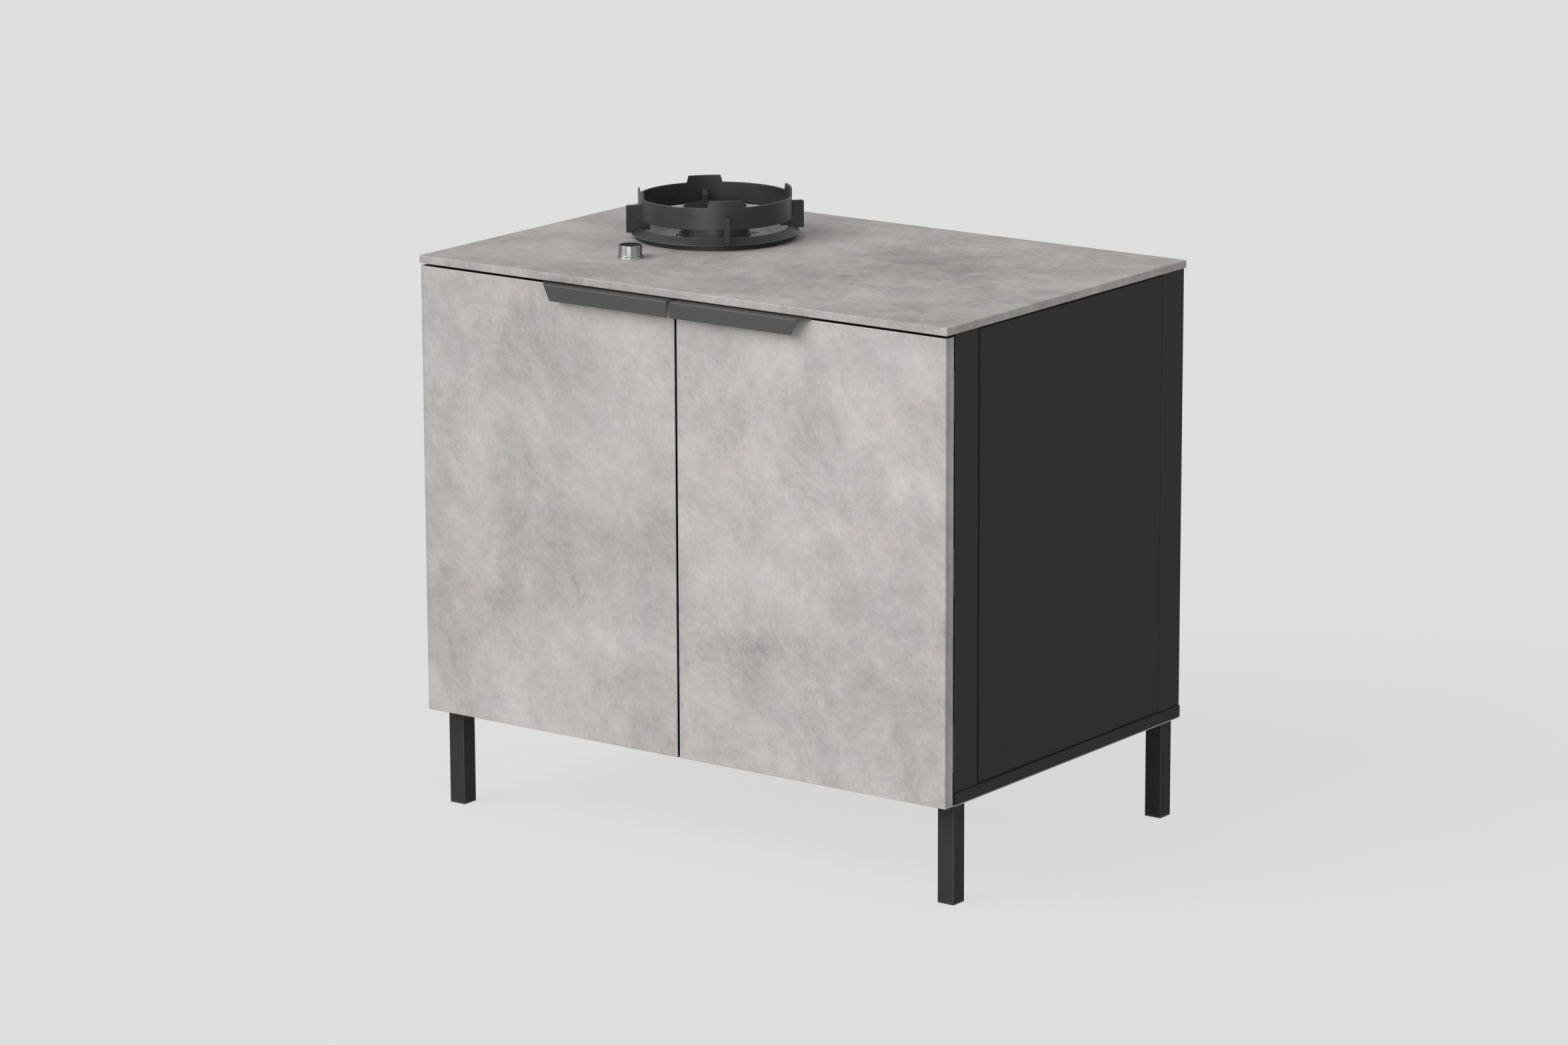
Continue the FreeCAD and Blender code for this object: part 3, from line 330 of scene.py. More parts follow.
print("finish helpers:", [helper.__name__ for helper in (
    new_finish, shaded, about, tinted, mixed, raised)])

# %% [markdown]
# ## The slab
# The worktop and the door fronts are a compact slab with a printed concrete look: soft warm
# grey clouds, short trowel strokes that run down to the right, fine dark scratches and faint
# stains. A photograph of concrete could be laid on it, but a pattern made of noises has no
# edge and no repeat, and every slab can start it at another place. Scratches come from a
# noise that is dark only where it crosses its mean, and stains from patches of a tint.

# %% Scratches and stains
SCRATCH_DEPTH = -0.16
BEIGE, VIOLET, MOSS = (1.015, 1.0, 0.978), (1.002, 0.985, 1.008), (0.985, 1.0, 0.99)
STAINS = ((0.0, 0.12, BEIGE), (7.0, 0.1, VIOLET), (19.0, 0.08, MOSS))   # start, size, tint


def scratches(tree, place, contrast):
    """Thin dark lines where a noise crosses its mean, in some places only."""
    lines = wandering(tree, place, 0.04, detail=6.0, evenness=0.65, contrast=22.0, wisp=0.4)
    line = maths(tree, "SUBTRACT", 1.0, maths(tree, "ABSOLUTE", lines), clamp=True)
    where = wandering(tree, place, 0.09, detail=3.0, evenness=0.6, contrast=4.0)
    there = maths(tree, "MULTIPLY", line, maths(tree, "ADD", where, 0.1, clamp=True))
    return maths(tree, "MULTIPLY", there, SCRATCH_DEPTH * contrast)


def stained(tree, place, colour, start, size, tint):
    """The colour with ragged patches of a tint."""
    moved = add(tree, "Mapping", {"Vector": place, "Location": (start, 0.0, start)}).outputs[0]
    amount = wandering(tree, moved, size, detail=5.0, evenness=0.7, contrast=9.0, wisp=0.3)
    stain = maths(tree, "ADD", amount, 0.2, clamp=True)
    return mixed(tree, stain, colour, tinted(tree, colour, tint))


print("stains:", len(STAINS))

# %% [markdown]
# A door's top edge and the edge where the doors meet get a near black painted shade, so that
# the gaps read as thin black lines. Its outer edges are cut, and show a darker skin and a
# paler, cooler core. One material can do all of this, since each edge has its own direction
# and place.

# %% Edges of a door
DOOR_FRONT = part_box("left_door_slab")[0].y
CORE_STARTS = DOOR_FRONT + 0.010        # halfway through the slab
SKIN, CORE = (0.9, 0.89, 0.88), (0.97, 1.03, 1.08)
# Near black painted shade for the gaps over and between the doors.
GAP_SHADE = tone(26)
FACING = 0.8                            # how straight a normal has to point to count
BETWEEN_DOORS = 0.01                    # an edge this near to the middle is a meeting edge


def door_edges(tree, place, normal, colour):
    """Painted shade on the top and meeting edges, and a cut core on the outer ones."""
    x, y, _ = split(tree, place)
    out, _, up = split(tree, normal)
    sideways = maths(tree, "GREATER_THAN", maths(tree, "ABSOLUTE", out), FACING)
    near_middle = maths(tree, "LESS_THAN", maths(tree, "ABSOLUTE", x), BETWEEN_DOORS)
    meeting = maths(tree, "MULTIPLY", sideways, near_middle)
    upward = maths(tree, "GREATER_THAN", up, FACING)
    deep = maths(tree, "GREATER_THAN", y, CORE_STARTS)
    core = mixed(tree, deep, tinted(tree, colour, SKIN), tinted(tree, colour, CORE))
    cut = mixed(tree, sideways, colour, core)
    # The top and meeting edges take the painted shade.
    return mixed(tree, maths(tree, "MAXIMUM", meeting, upward), cut, GAP_SHADE)


print("door front at:", round(DOOR_FRONT, 4))

# %% [markdown]
# The slab's recipe puts the layers together: patches, strokes, scratches, bevels made paler
# for the lighter core and as a painted highlight, and the few large clouds shade the colour,
# the stains tint it, and a cooler, slightly darker strip runs along the slab's left edge. The
# surface is matt, a little smoother where the print is dark, and has a barely felt relief of
# pores and strokes.

# %% Slab finish
SLAB = tone(180, 176, 174)
STROKE_TURN = tuple(math.radians(a) for a in (20, -56, -25))
DRAWN_OUT = (0.75, 1.0, 1.0)            # patches are a third longer along the strokes
STRIP_WIDTH, STRIP_TINT = 0.006, (0.93, 0.955, 0.985)
# Bevels are paler for the slab's lighter core and as a painted highlight.
BEVEL_CORE_AND_HIGHLIGHT = 0.16                       # how much paler a bevel is


def slab_finish(name, node, start, level, contrast, clouds, is_door=True):
    """The print on one slab: it begins at start, and has a level and a contrast of its own."""
    material, tree, shader, place, normal = new_finish(name)
    print_place = add(tree, "Mapping", {"Vector": place, "Location": start}).outputs[0]
    leaning = add(tree, "VectorRotate", {"Vector": print_place, "Rotation": STROKE_TURN},
                  rotation_type="EULER_XYZ").outputs[0]
    drawn = vector_maths(tree, "MULTIPLY", leaning, DRAWN_OUT)
    patches = wandering(tree, drawn, 0.16, detail=9.0, evenness=0.86,
                        contrast=1.7 * contrast, wisp=0.25)
    strokes = use(tree, grain, {"Vector": print_place, "Turn": STROKE_TURN, "Width": 0.004,
                                "Stretch": 3.0, "Detail": 4.0,
                                "Contrast": 0.14 * contrast})["Grain"]
    bevels = use(tree, edges, {"Normal": normal, "Width": 0.15})["Edge"]
    shifts = [patches, strokes, scratches(tree, drawn, contrast),
              maths(tree, "MULTIPLY", bevels, BEVEL_CORE_AND_HIGHLIGHT)]
    rag = maths(tree, "MULTIPLY", patches, 0.9)
    for centre, reach, depth in clouds:
        mask = use(tree, cloud, {"Vector": place, "Centre": centre, "Reach": reach,
                                 "Rag": rag})["Mask"]
        shifts.append(maths(tree, "MULTIPLY", mask, depth))
    colour = shaded(tree, tuple(level * c for c in SLAB[:3]), *shifts)
    for stain in STAINS:
        colour = stained(tree, print_place, colour, *stain)
    # A cooler, slightly darker strip runs along the slab's left edge.
    strip_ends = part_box(node)[0].x + STRIP_WIDTH
    in_strip = maths(tree, "LESS_THAN", split(tree, place)[0], strip_ends)
    colour = mixed(tree, in_strip, colour, tinted(tree, colour, STRIP_TINT))
    if is_door:
        colour = door_edges(tree, place, normal, colour)
    pores = wandering(tree, print_place, 0.0012, detail=2.0, evenness=0.6, contrast=1.0)
    relief = about(tree, pores, strokes, 4.0)
    fill(tree, shader, {"Base Color": colour, "Roughness": about(tree, 0.62, patches, 0.2),
                        "Specular IOR Level": 0.2, "Normal": raised(tree, relief, 0.00006)})
    return material


print("slab colour:", [round(c, 3) for c in SLAB[:3]])

# %% [markdown]
# The large clouds are written as the place and the reach of each on its slab's face, and how
# much darker or lighter it is. Only the biggest ones are worth placing: the eye knows a slab
# by them, and takes the finer pattern as it comes.

# %% The three slabs
WORKTOP_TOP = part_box("worktop")[1].z
THROUGH = 0.1                           # a cloud's reach into the slab


def on_worktop(x, y, wide, deep, depth):
    return (x, y, WORKTOP_TOP), (wide, deep, THROUGH), depth


def on_door(x, z, wide, high, depth):
    return (x, DOOR_FRONT, z), (wide, THROUGH, high), depth


WORKTOP_CLOUDS = [on_worktop(0.16, 0.13, 0.22, 0.14, -0.17),
                  on_worktop(0.30, -0.08, 0.30, 0.25, -0.08),
                  on_worktop(-0.40, -0.22, 0.16, 0.10, 0.06)]
LEFT_CLOUDS = [on_door(-0.29, 0.77, 0.12, 0.10, -0.11),
               on_door(-0.33, 0.47, 0.05, 0.14, -0.05),
               on_door(-0.44, 0.29, 0.12, 0.10, -0.08),
               on_door(-0.14, 0.58, 0.10, 0.12, 0.05)]
RIGHT_CLOUDS = [on_door(0.25, 0.76, 0.07, 0.10, -0.07),
                on_door(0.08, 0.34, 0.12, 0.06, -0.09),
                on_door(0.22, 0.36, 0.10, 0.05, -0.08),
                on_door(0.40, 0.80, 0.14, 0.08, 0.06),
                on_door(0.18, 0.47, 0.12, 0.08, 0.05)]
slabs = {
    "worktop": slab_finish("slab_worktop", "worktop", (0.7, 1.9, 0.3), 0.955, 1.15,
                           WORKTOP_CLOUDS, is_door=False),
    "left_door_slab": slab_finish("slab_left_door", "left_door_slab", (3.1, 0.4, 1.2),
                                  1.01, 0.85, LEFT_CLOUDS),
    "right_door_slab": slab_finish("slab_right_door", "right_door_slab", (5.6, 2.2, 4.7),
                                   1.03, 0.9, RIGHT_CLOUDS),
}
print("slabs:", list(slabs))

# %% [markdown]
# ## Black powder coat
# The carcass is steel tube and folded sheet under a matt black powder coat. A plain dark
# shader would do from afar, but powder has a skin: it flows out with a fine orange peel, a
# millimetre or so from bump to bump, and is thinnest and a little greyer on the folds, which
# are also lightened as a painted highlight. A faint cloudiness keeps large panels from
# looking flat. The door backs and handles have the same coat in a lighter, glossier grey.

# %% Powder coat finish
ORANGE_PEEL = 0.00003                   # metres of relief


def powder_finish(name, colour, roughness, specular, edge_wear_and_highlight):
    material, tree, shader, place, normal = new_finish(name)
    haze = wandering(tree, place, 0.22, detail=3.0, evenness=0.5, contrast=0.5)
    speck = wandering(tree, place, 0.0022, detail=2.0, evenness=0.7, contrast=0.5)
    bevels = use(tree, edges, {"Normal": normal, "Width": 0.25})["Edge"]
    # Folds and bevels are lighter for the thin coat and as a painted highlight.
    thin_coat_and_highlight = maths(tree, "MULTIPLY", bevels, edge_wear_and_highlight)
    peel = wandering(tree, place, 0.0014, detail=1.0, evenness=0.4, contrast=1.0)
    fill(tree, shader, {"Base Color": shaded(tree, colour, haze, speck, thin_coat_and_highlight),
                        "Roughness": about(tree, roughness, haze, 0.3),
                        "Specular IOR Level": specular,
                        "Normal": raised(tree, peel, ORANGE_PEEL)})
    return material


black_coat = powder_finish("black_powder_coat", tone(53), 0.5, 0.07, edge_wear_and_highlight=1.6)
grey_coat = powder_finish("grey_powder_coat", tone(74), 0.45, 0.22, edge_wear_and_highlight=0.5)
print("coats:", black_coat.name, grey_coat.name)

# %% [markdown]
# ## Cast iron, enamelled black
# The base ring, the pan support and the burner's cap are cast and covered in a matt black
# enamel. A casting keeps the sand's texture under the enamel, coarser than powder coat. The
# rounded edges, which carry a mark of their own, are lighter: partly the enamel thinning
# there and partly a painted highlight. The undersides and the ring's foot get a dark tone,
# which is painted shade. The cap sits in the flame, so its enamel is the dullest, and its
# darker colour is partly painted shade from the band round it.

# %% Cast finish
SAND = 0.00008                          # metres of relief
# Rounded edges are lighter for thinned enamel and as a painted highlight.
EDGE_WEAR_AND_HIGHLIGHT = 1.3                              # how much lighter a rounded edge is
# The tone of the painted shade on undersides, and the height of the ring's foot below which it
# is painted.
UNDERSIDE_SHADE = tone(14)
FOOT_HEIGHT = 0.0055


def cast_finish(name, colour, roughness, specular, foot=0.0):
    """Enamel on a casting, with painted shade on its undersides and below the height of its
    foot.
    """
    material, tree, shader, place, normal = new_finish(name)
    blotch = wandering(tree, place, 0.03, detail=4.0, evenness=0.6, contrast=0.7)
    grit = wandering(tree, place, 0.0016, detail=3.0, evenness=0.65, contrast=1.0)
    rounded = add(tree, "Attribute", attribute_name="rounded").outputs["Fac"]
    top = shaded(tree, colour, blotch, maths(tree, "MULTIPLY", grit, 0.4),
                 maths(tree, "MULTIPLY", rounded, EDGE_WEAR_AND_HIGHLIGHT))
    # Faces turned down and the ring's foot get painted shade.
    under = maths(tree, "MULTIPLY", split(tree, normal)[2], -4.0, clamp=True)
    low = maths(tree, "LESS_THAN", split(tree, place)[2], foot)
    in_painted_shade = maths(tree, "MAXIMUM", under, low)
    fill(tree, shader, {"Base Color": mixed(tree, in_painted_shade, top, UNDERSIDE_SHADE),
                        "Roughness": about(tree, roughness, blotch, 0.3),
                        "Specular IOR Level": specular,
                        "Normal": raised(tree, grit, SAND)})
    return material


ring_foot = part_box("base_ring")[0].z + FOOT_HEIGHT
enamel = cast_finish("black_enamel", tone(42), 0.4, 0.38)
ring_enamel = cast_finish("ring_enamel", tone(46), 0.4, 0.38, ring_foot)
# The cap's dark colour is partly painted shade from the band round it.
cap_enamel = cast_finish("matt_black_enamel", tone(20), 0.8, 0.1)
print("cast:", [m.name for m in (enamel, ring_enamel, cap_enamel)])

# %% [markdown]
# ## Bare metals
# Stainless steel, zinc plate, brass and the burner's cast alloy show little but what they
# reflect, and what tells them apart is the tint and the roughness of the reflection. Turned
# pieces get rings round their own axis. The rings also spread a reflection across themselves:
# a bump as fine as that would only sparkle, so the tangent is laid across the rings, and the
# shader's anisotropy draws each highlight out into the streak that turned metal shows.

# %% Turned metals
BURNER_AXIS, TAP_AXIS = (-0.219, 0.077), (-0.219, -0.143)
UP = (0, 0, 1)


def turned_metal(name, colour, roughness, axis, pitch, depth=0.000012, streak=0.6):
    """Metal turned round an axis, with rings of this pitch and depth."""
    material, tree, shader, place, normal = new_finish(name)
    seen = add(tree, "Mapping", {"Vector": place, "Location": (-axis[0], -axis[1], 0.0)},
               vector_type="POINT").outputs[0]
    around = vector_maths(tree, "CROSS_PRODUCT", UP, seen)
    across = vector_maths(tree, "CROSS_PRODUCT", around, normal)
    rings = use(tree, turning, {"Vector": seen, "Pitch": pitch, "Contrast": 1.0})["Rings"]
    smear = wandering(tree, place, 0.02, detail=3.0, evenness=0.5, contrast=0.25)
    fill(tree, shader, {
        "Base Color": shaded(tree, colour, smear, maths(tree, "MULTIPLY", rings, 0.2)),
        "Roughness": about(tree, roughness, rings, 0.3), "Metallic": 1.0,
        "Anisotropic": streak, "Tangent": across, "Normal": raised(tree, rings, depth)})
    return material


knob_steel = turned_metal("turned_steel", tone(148, 148, 149), 0.34, TAP_AXIS, 0.0003,
                          depth=0.000006, streak=0.9)
dish_steel = turned_metal("spun_steel", tone(190, 190, 191), 0.33, BURNER_AXIS, 0.0007)
# The dish, plate and screws inside the burner get a darker, rougher steel.
dull_steel = turned_metal("darker_rougher_steel", tone(156, 155, 154), 0.42, BURNER_AXIS, 0.0007)
dark_alloy = turned_metal("dark_cast_alloy", tone(84, 83, 82), 0.5, BURNER_AXIS, 0.0006)
crown_alloy = turned_metal("burner_alloy", tone(186, 184, 180), 0.38, BURNER_AXIS, 0.0005)
print("turned:", [m.name for m in (knob_steel, dish_steel, dull_steel, dark_alloy,
                                   crown_alloy)])

# %% [markdown]
# The sheet under the carcass is galvanised: it has the long lines of the rolling mill and,
# over them, the zinc's crystals, which a cell pattern gives. Screws are zinc plated and the
# tap is machined brass, and both have a fine bloom that is neither ring nor line.

# %% Sheet and plated metals
def rolled_metal(name, colour, roughness, turn, spangle):
    """Rolled sheet with long lines, and with zinc crystals of this contrast."""
    material, tree, shader, place, _ = new_finish(name)
    lines = use(tree, grain, {"Vector": place, "Turn": turn, "Width": 0.0006,
                              "Stretch": 60.0, "Contrast": 1.0})["Grain"]
    flakes = add(tree, "TexVoronoi", {"Vector": place, "Scale": 90.0}, feature="F1")
    flake = add(tree, "SeparateColor", {0: flakes.outputs["Color"]}).outputs[0]
    crystals = maths(tree, "MULTIPLY", maths(tree, "SUBTRACT", flake, 0.5), spangle)
    fill(tree, shader, {
        "Base Color": shaded(tree, colour, maths(tree, "MULTIPLY", lines, 0.2), crystals),
        "Roughness": about(tree, roughness, lines, 0.25), "Metallic": 1.0,
        "Normal": raised(tree, lines, 0.00001)})
    return material


def plated_metal(name, colour, roughness, size):
    """Plated or machined metal, with a bloom of this size."""
    material, tree, shader, place, _ = new_finish(name)
    bloom = wandering(tree, place, size, detail=4.0, evenness=0.6, contrast=0.6)
    fill(tree, shader, {"Base Color": shaded(tree, colour, bloom),
                        "Roughness": about(tree, roughness, bloom, 0.5), "Metallic": 1.0,
                        "Normal": raised(tree, bloom, 0.00002)})
    return material


sheet_zinc = rolled_metal("galvanised_sheet", tone(160, 162, 164), 0.36, (0, 0, 0), 0.25)
zinc_plate = plated_metal("zinc_plate", tone(188, 190, 196), 0.34, 0.004)
brass = plated_metal("machined_brass", tone(206, 172, 104), 0.28, 0.006)
print("metals:", [m.name for m in (sheet_zinc, zinc_plate, brass)])

# %% [markdown]
# ## Ceramic and plastic
# The spark electrode is fired ceramic under a clear glaze. The glaze is a layer of its own on
# the real piece, so it is the shader's clear coat here and not just a lower roughness. The
# foot caps, the door catches and the knob's top are a moulded black plastic, whose skin has a
# faint texture from its mould.

# %% Ceramic and plastic finishes
def glazed_ceramic():
    material, tree, shader, place, _ = new_finish("glazed_ceramic")
    body = wandering(tree, place, 0.003, detail=3.0, evenness=0.6, contrast=0.12)
    fill(tree, shader, {"Base Color": shaded(tree, tone(225, 221, 212), body),
                        "Roughness": 0.3, "Coat Weight": 0.8, "Coat Roughness": 0.05,
                        "Normal": raised(tree, body, 0.00004)})
    return material


def moulded_plastic(name, colour, roughness, specular):
    material, tree, shader, place, _ = new_finish(name)
    skin = wandering(tree, place, 0.0007, detail=2.0, evenness=0.5, contrast=1.0)
    dust = wandering(tree, place, 0.012, detail=3.0, evenness=0.6, contrast=0.5)
    fill(tree, shader, {"Base Color": shaded(tree, colour, dust),
                        "Roughness": about(tree, roughness, skin, 0.2),
                        "Specular IOR Level": specular, "Normal": raised(tree, skin, 0.00003)})
    return material


ceramic = glazed_ceramic()
black_plastic = moulded_plastic("black_plastic", tone(38), 0.5, 0.4)
knob_top = moulded_plastic("knob_top_plastic", tone(36), 0.75, 0.08)
print("ceramic and plastic:", [m.name for m in (ceramic, black_plastic, knob_top)])

# %% [markdown]
# ## Dressing the solids
# The CAD record names the material slot of every piece. Most slots have one finish, and the
# slabs and the turned pieces are named one by one, because their patterns start at their
# own place or axis.

# %% Assign finishes
SLOT_FINISH = {
    "black_steel": black_coat, "grey_steel": grey_coat, "plain_steel": sheet_zinc,
    "stainless": dish_steel, "zinc_hardware": zinc_plate, "cast_black": enamel,
    "burner_alloy": crown_alloy, "brass": brass, "ceramic": ceramic,
    "black_plastic": black_plastic,
}
OWN_FINISH = dict(
    slabs, knob=knob_steel, knob_bezel=knob_steel, valve_stem=knob_steel, knob_cap=knob_top,
    burner_dish=dull_steel, burner_plate=dull_steel, burner_screws=dull_steel,
    burner_body=dark_alloy, burner_cap=cap_enamel, base_ring=ring_enamel,
    hinge_pins=black_coat)


def dress(obj, finish):
    obj.data.materials.clear()
    obj.data.materials.append(finish)


slot_of = {p["node"]: p["material_slot"] for p in frame["record"]["subparts"]}
for node, obj in frame["nodes"].items():
    dress(obj, OWN_FINISH.get(node) or SLOT_FINISH[slot_of[node]])
print("dressed:", len(frame["nodes"]))

# %% [markdown]
# ## Soft edges
# Nothing cast, turned or bent has a perfectly sharp edge, and it is the rounded edge that
# catches a thin line of light. A bevel shader would draw that line in a picture, but the
# mesh would stay sharp. So each piece seen near gets a copy of its solid with its loose
# triangles merged into faces and its sharp edges, found by the angle between their faces,
# rounded. The copy stands in for the solid and moves with it. Curved faces are shaded smooth
# and flat ones flat, or long thin triangles would smear the light over the flat ones.

# %% Stand-ins
CURVE_LIMIT = math.radians(20)          # a turn between faces that is still one curve
NO_TURN = 0.01                          # and one that is no turn at all

members = frame["record"]["behaviour"]["bodies"]
body_of = {node: body for body, nodes in members.items() for node in nodes}


def is_curved(face):
    """Whether much of a face's outline runs on into a neighbour that is turned a little."""
    outline = sum(e.calc_length() for e in face.edges)
    gentle = sum(e.calc_length() for e in face.edges
                 if e.is_manifold and NO_TURN < e.calc_face_angle() < CURVE_LIMIT)
    return gentle > 0.3 * outline


def stand_in(bm, node, name):
    """Turns a bmesh into a piece that takes the place, finish and body of a solid."""
    bmesh.ops.recalc_face_normals(bm, faces=bm.faces)
    for face in bm.faces:
        face.smooth = is_curved(face)
    mesh = bpy.data.meshes.new(name)
    bm.to_mesh(mesh)
    bm.free()
    mesh.set_sharp_from_angle(angle=CURVE_LIMIT)
    piece = bpy.data.objects.new(name, mesh)
    bpy.context.scene.collection.objects.link(piece)
    even = piece.modifiers.new("even_shading", "WEIGHTED_NORMAL")
    even.keep_sharp = True
    dress(piece, frame["nodes"][node].data.materials[0])
    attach(piece, body_of[node])
    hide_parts(node)
    return piece


print("bodies:", len(members))

# %% [markdown]
# The rounding is a bevel of two steps, which is enough for a radius under a millimetre. Its
# new faces carry the mark that the enamel reads as a worn edge with a painted highlight. The
# mark's layer is made before the edges are listed, because a new layer moves the mesh's data
# and would leave the list pointing at nothing.

# %% Soft edges
SAME_POINT = 0.000002
FLAT = math.radians(0.5)
SHARP = math.radians(30.0)
ROUNDING_STEPS = 2
SOFT_EDGES = dict(pan_support=0.0007, base_ring=0.0007, burner_cap=0.0008, flame_ring=0.0003,
                  burner_body=0.0006, left_handle=0.0004, right_handle=0.0004)


def softened(node, radius):
    """A stand-in for a solid, with its sharp edges rounded."""
    bm = bmesh.new()
    bm.from_mesh(frame["nodes"][node].data)
    bmesh.ops.remove_doubles(bm, verts=bm.verts, dist=SAME_POINT)
    bmesh.ops.dissolve_limit(bm, angle_limit=FLAT, verts=bm.verts, edges=bm.edges)
    mark = bm.faces.layers.float.new("rounded")
    crisp = [e for e in bm.edges if e.is_manifold and e.calc_face_angle() > SHARP]
    rounding = bmesh.ops.bevel(bm, geom=crisp, affect="EDGES", offset=radius,
                               segments=ROUNDING_STEPS, profile=0.5, material=-1,
                               clamp_overlap=True)
    for face in rounding["faces"]:
        face[mark] = 1.0
    return stand_in(bm, node, node + "_soft")


for node, radius in SOFT_EDGES.items():
    piece = softened(node, radius)
    print(piece.name, "faces:", len(piece.data.polygons))

# %% [markdown]
# ## The knob and its bezel
# The knob is a turned steel cup on a low collar that stops water from running down the
# stem. Cylinders could be stacked and joined for them, but both are made as a lathe would
# make them: the outline is drawn once, as the points of one half of a section, and spun
# round the tap's axis. The knob's wall has a rounded top edge, a seat for the black cap, and
# a foot that flares out a little over the collar.

# %% Spinning an outline
MM = 0.001
KNOB_LOW, KNOB_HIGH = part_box("knob")[0].z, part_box("knob")[1].z
KNOB_RADIUS = (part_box("knob")[1].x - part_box("knob")[0].x) / 2
BEZEL_RADIUS = (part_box("knob_bezel")[1].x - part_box("knob_bezel")[0].x) / 2


def spun(outline, axis, segments=96):
    """A closed half section of (radius, height) points, spun round an upright axis."""
    bm = bmesh.new()
    points = [bm.verts.new((radius, 0.0, height)) for radius, height in outline]
    rims = [bm.edges.new(pair) for pair in zip(points, points[1:] + points[:1])]
    bmesh.ops.spin(bm, geom=points + rims, cent=(0, 0, 0), axis=(0, 0, 1),
                   angle=2 * math.pi, steps=segments, use_merge=True)
    bmesh.ops.remove_doubles(bm, verts=bm.verts, dist=MM / 1000)
    bmesh.ops.translate(bm, verts=bm.verts, vec=(axis[0], axis[1], 0.0))
    return bm


def eased(corner, before, after, radius, steps=4):
    """Points that round an outline's corner between the points before and after it."""
    corner, before, after = Vector(corner), Vector(before), Vector(after)
    start = corner + (before - corner).normalized() * radius
    end = corner + (after - corner).normalized() * radius
    return [tuple(start.lerp(corner, t).lerp(corner.lerp(end, t), t))
            for t in (i / steps for i in range(steps + 1))]


print("knob radius:", round(KNOB_RADIUS / MM, 2), "mm")

# %% [markdown]
# The knob's outline runs from the foot of the bore outwards, up the flared foot and the wall,
# over the rounded edge, down into the cap's seat, and back under the knob's floor, so that
# the cup has a real wall. The bezel's outline is a list of steps, each so far in from its
# rim and so far above the worktop.

# %% Knob and bezel
KNOB_WALL, KNOB_FLOOR = 1.55 * MM, 1.2 * MM
SEAT_DEPTH, CAP_RIM = 1.2 * MM, 0.95 * MM
FLARE, FLARE_FOOT, FLARE_TOP = 0.35 * MM, 0.9 * MM, 1.8 * MM
TOP_ROUNDING = 0.7 * MM
STEM_RADIUS = 0.004
BEZEL_STEPS = [(1.6, 0.0), (0.0, 0.0), (0.0, 0.7), (0.5, 1.2), (0.9, 2.7), (1.6, 3.1)]   # mm

bore = KNOB_RADIUS - KNOB_WALL
wall = KNOB_RADIUS - FLARE
seat = KNOB_HIGH - SEAT_DEPTH
knob_outline = (
    [(bore, KNOB_LOW), (KNOB_RADIUS, KNOB_LOW), (KNOB_RADIUS, KNOB_LOW + FLARE_FOOT),
     (wall, KNOB_LOW + FLARE_TOP)]
    + eased((wall, KNOB_HIGH), (wall, KNOB_LOW), (bore, KNOB_HIGH), TOP_ROUNDING)
    + [(wall - CAP_RIM, KNOB_HIGH), (wall - CAP_RIM, seat), (STEM_RADIUS, seat),
       (STEM_RADIUS, seat - KNOB_FLOOR), (bore, seat - KNOB_FLOOR)])
knob_shell = stand_in(spun(knob_outline, TAP_AXIS), "knob", "knob_shell")
bezel_outline = [(BEZEL_RADIUS - inset * MM, WORKTOP_TOP + height * MM)
                 for inset, height in BEZEL_STEPS]
bezel = stand_in(spun(bezel_outline, TAP_AXIS), "knob_bezel", "bezel_turned")
print("knob:", [round(v / MM, 1) for v in knob_shell.dimensions],
      "bezel:", [round(v / MM, 1) for v in bezel.dimensions])

# %% [markdown]
# ## The studio
# The background of the photograph is one even pale grey with no horizon. A curved backdrop
# would need its own light to look so even. Here a wide floor runs out to where the camera
# can't see, and both floor and world show the backdrop's tone to the camera and to mirrors.
# Part of the floor stays a plain diffuse surface, which takes the light and keeps a soft
# shadow under the unit.

# %% Floor
FLOOR_RADIUS = 60.0
FLOOR_TAKES_LIGHT = 0.15
FLOOR_LIGHT = 0.83              # what the lamps give on the open floor


def seen_directly(tree):
    """One for rays from the camera, a mirror or glass, and nought for the rest."""
    path = add(tree, "LightPath").outputs
    mirrored = maths(tree, "MAXIMUM", path["Is Glossy Ray"], path["Is Transmission Ray"])
    return maths(tree, "MAXIMUM", path["Is Camera Ray"], mirrored)


def floor_finish():
    material = bpy.data.materials.new("floor")
    material.use_nodes = True
    tree = material.node_tree
    tree.nodes.clear()
    lit = add(tree, "BsdfDiffuse", {"Color": BACKDROP})
    share = 1 - FLOOR_TAKES_LIGHT
    strength = (1 - FLOOR_TAKES_LIGHT * FLOOR_LIGHT) / share
    glow = add(tree, "Emission", {"Color": BACKDROP, "Strength": strength})
    amount = maths(tree, "MULTIPLY", seen_directly(tree), share)
    both = add(tree, "MixShader", {0: amount, 1: lit.outputs[0], 2: glow.outputs[0]})
    add(tree, "OutputMaterial", {"Surface": both.outputs[0]})
    return material


bm = bmesh.new()
bmesh.ops.create_circle(bm, cap_ends=True, segments=64, radius=FLOOR_RADIUS)
floor_mesh = bpy.data.meshes.new("floor")
bm.to_mesh(floor_mesh)
bm.free()
floor = bpy.data.objects.new("floor", floor_mesh)
bpy.context.scene.collection.objects.link(floor)
dress(floor, floor_finish())
print("floor:", FLOOR_RADIUS, "m to its rim")

# %% [markdown]
# The world is the even light of a white room. It lights the unit at one level, and shows
# itself to the camera and to mirrors at the backdrop's level, so the tone behind the unit
# doesn't change with the light on it.

# %% World
WORLD_LIGHT = 0.44

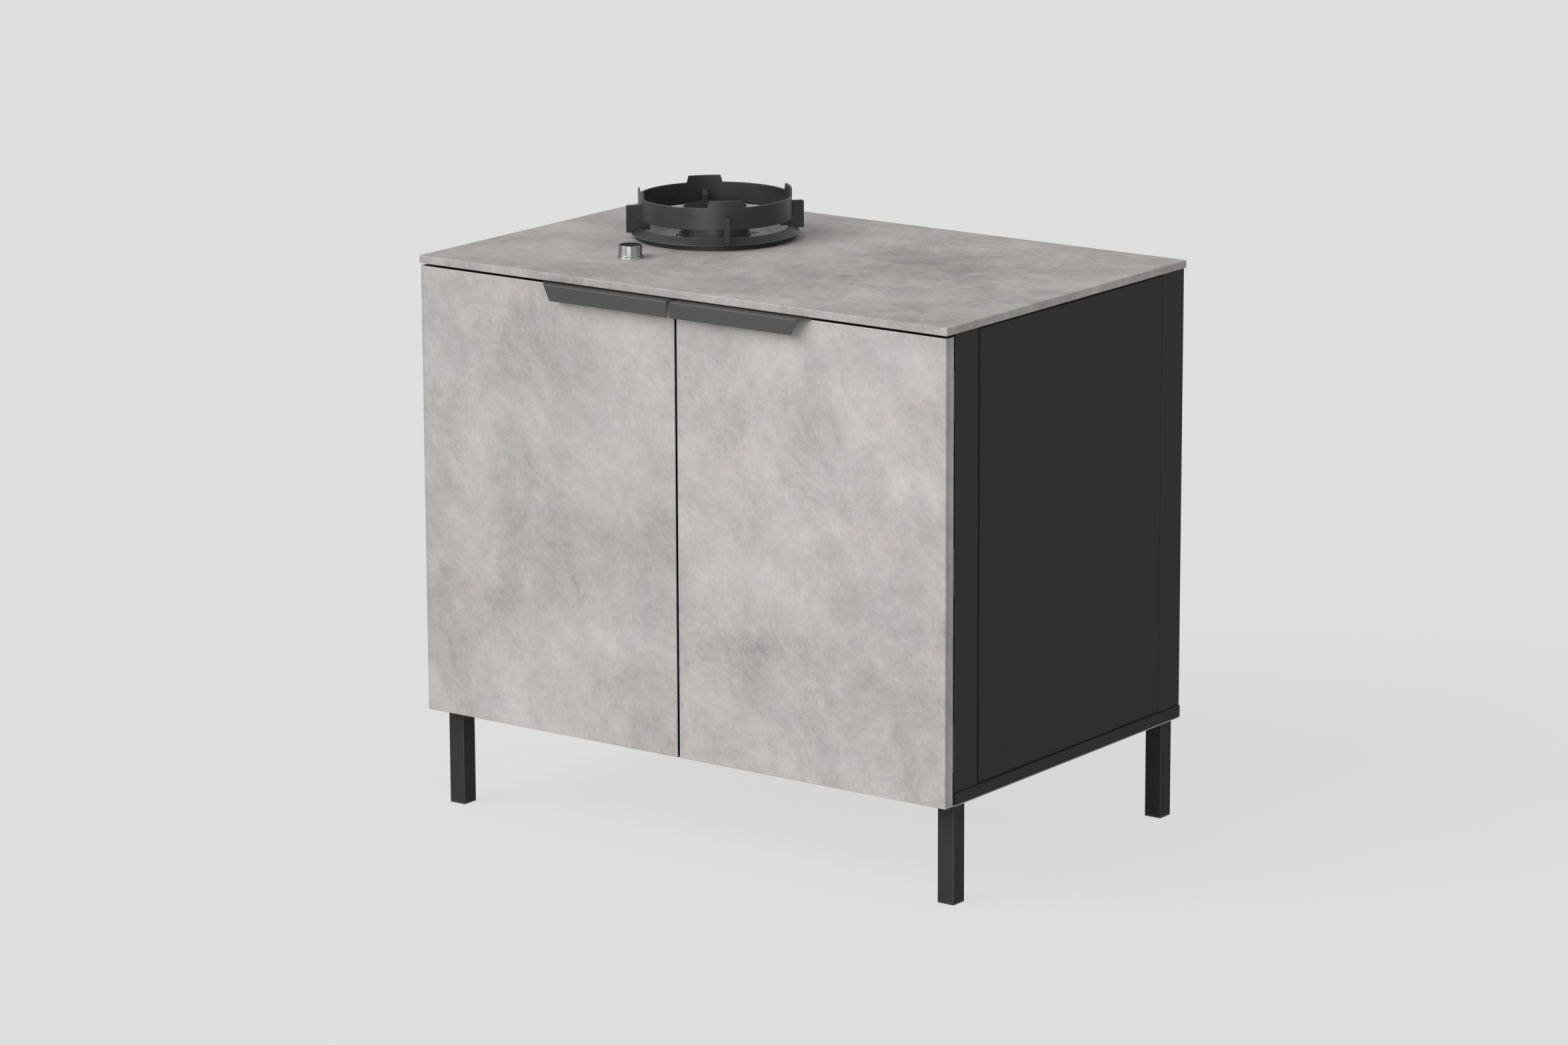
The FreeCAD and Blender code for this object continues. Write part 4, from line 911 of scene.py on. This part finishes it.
world = bpy.data.worlds.new("studio")
world.use_nodes = True
tree = world.node_tree
tree.nodes.clear()
direct = seen_directly(tree)
level = maths(tree, "ADD", maths(tree, "MULTIPLY", direct, BACKDROP[0] - WORLD_LIGHT),
              WORLD_LIGHT)
air = add(tree, "Background", {"Color": (1, 1, 1, 1), "Strength": level})
add(tree, "OutputWorld", {"Surface": air.outputs[0]})
bpy.context.scene.world = world
print("world light:", WORLD_LIGHT)

# %% [markdown]
# ## Lamps
# In the photograph the fronts are brightest, the top is next and the right side is dimmest,
# all without hard shadows. A wide, soft sun from the front and left gives that difference
# over the even light of the world. Three lit panels are there for reflections alone, as a
# photographer sets up white boards: the near one, just left of the camera, gives the knob
# its upright streak and the enamel its sheen, a faint one to the side fills in the right, and
# one to the left gives the handles their satin.

# %% Lamps
PANELS_FACE = Vector((0.0, 0.0, 0.8))
PANEL_DISTANCE = 7.0
PANELS = [              # name, degrees to the right, width, height, rise, brightness
    ("panel_near", 22, 4.8, 2.8, 0.12, 7.0),
    ("panel_side", 77, 6.0, 4.0, 0.35, 1.0),
    ("panel_left", -40, 6.0, 3.0, 0.2, 0.8),
]


def add_sun(name, towards, level, spread):
    """A sun whose light makes a colour that faces it render as written at level one."""
    lamp = bpy.data.lights.new(name, "SUN")
    lamp.energy = level * math.pi
    lamp.angle = math.radians(spread)
    obj = bpy.data.objects.new(name, lamp)
    obj.rotation_euler = Vector(towards).to_track_quat("Z", "Y").to_euler()
    bpy.context.scene.collection.objects.link(obj)


def add_reflector(name, turn, width, height, rise, brightness):
    """An upright lit panel for reflections only, turned from the front of the unit."""
    lamp = bpy.data.lights.new(name, "AREA")
    lamp.shape = "RECTANGLE"
    lamp.size, lamp.size_y = width, height
    lamp.energy = brightness * math.pi * width * height
    obj = bpy.data.objects.new(name, lamp)
    turn = math.radians(turn)
    away = Vector((math.sin(turn), -math.cos(turn), rise)).normalized()
    obj.location = PANELS_FACE + away * PANEL_DISTANCE
    obj.rotation_euler = away.to_track_quat("Z", "Y").to_euler()
    obj.visible_diffuse = False
    obj.visible_camera = False
    bpy.context.scene.collection.objects.link(obj)


add_sun("front_left", (-0.41, -0.74, 0.53), level=0.71, spread=50)
for panel in PANELS:
    add_reflector(*panel)
print("lamps:", 1 + len(PANELS))

# %% Closing import
import json
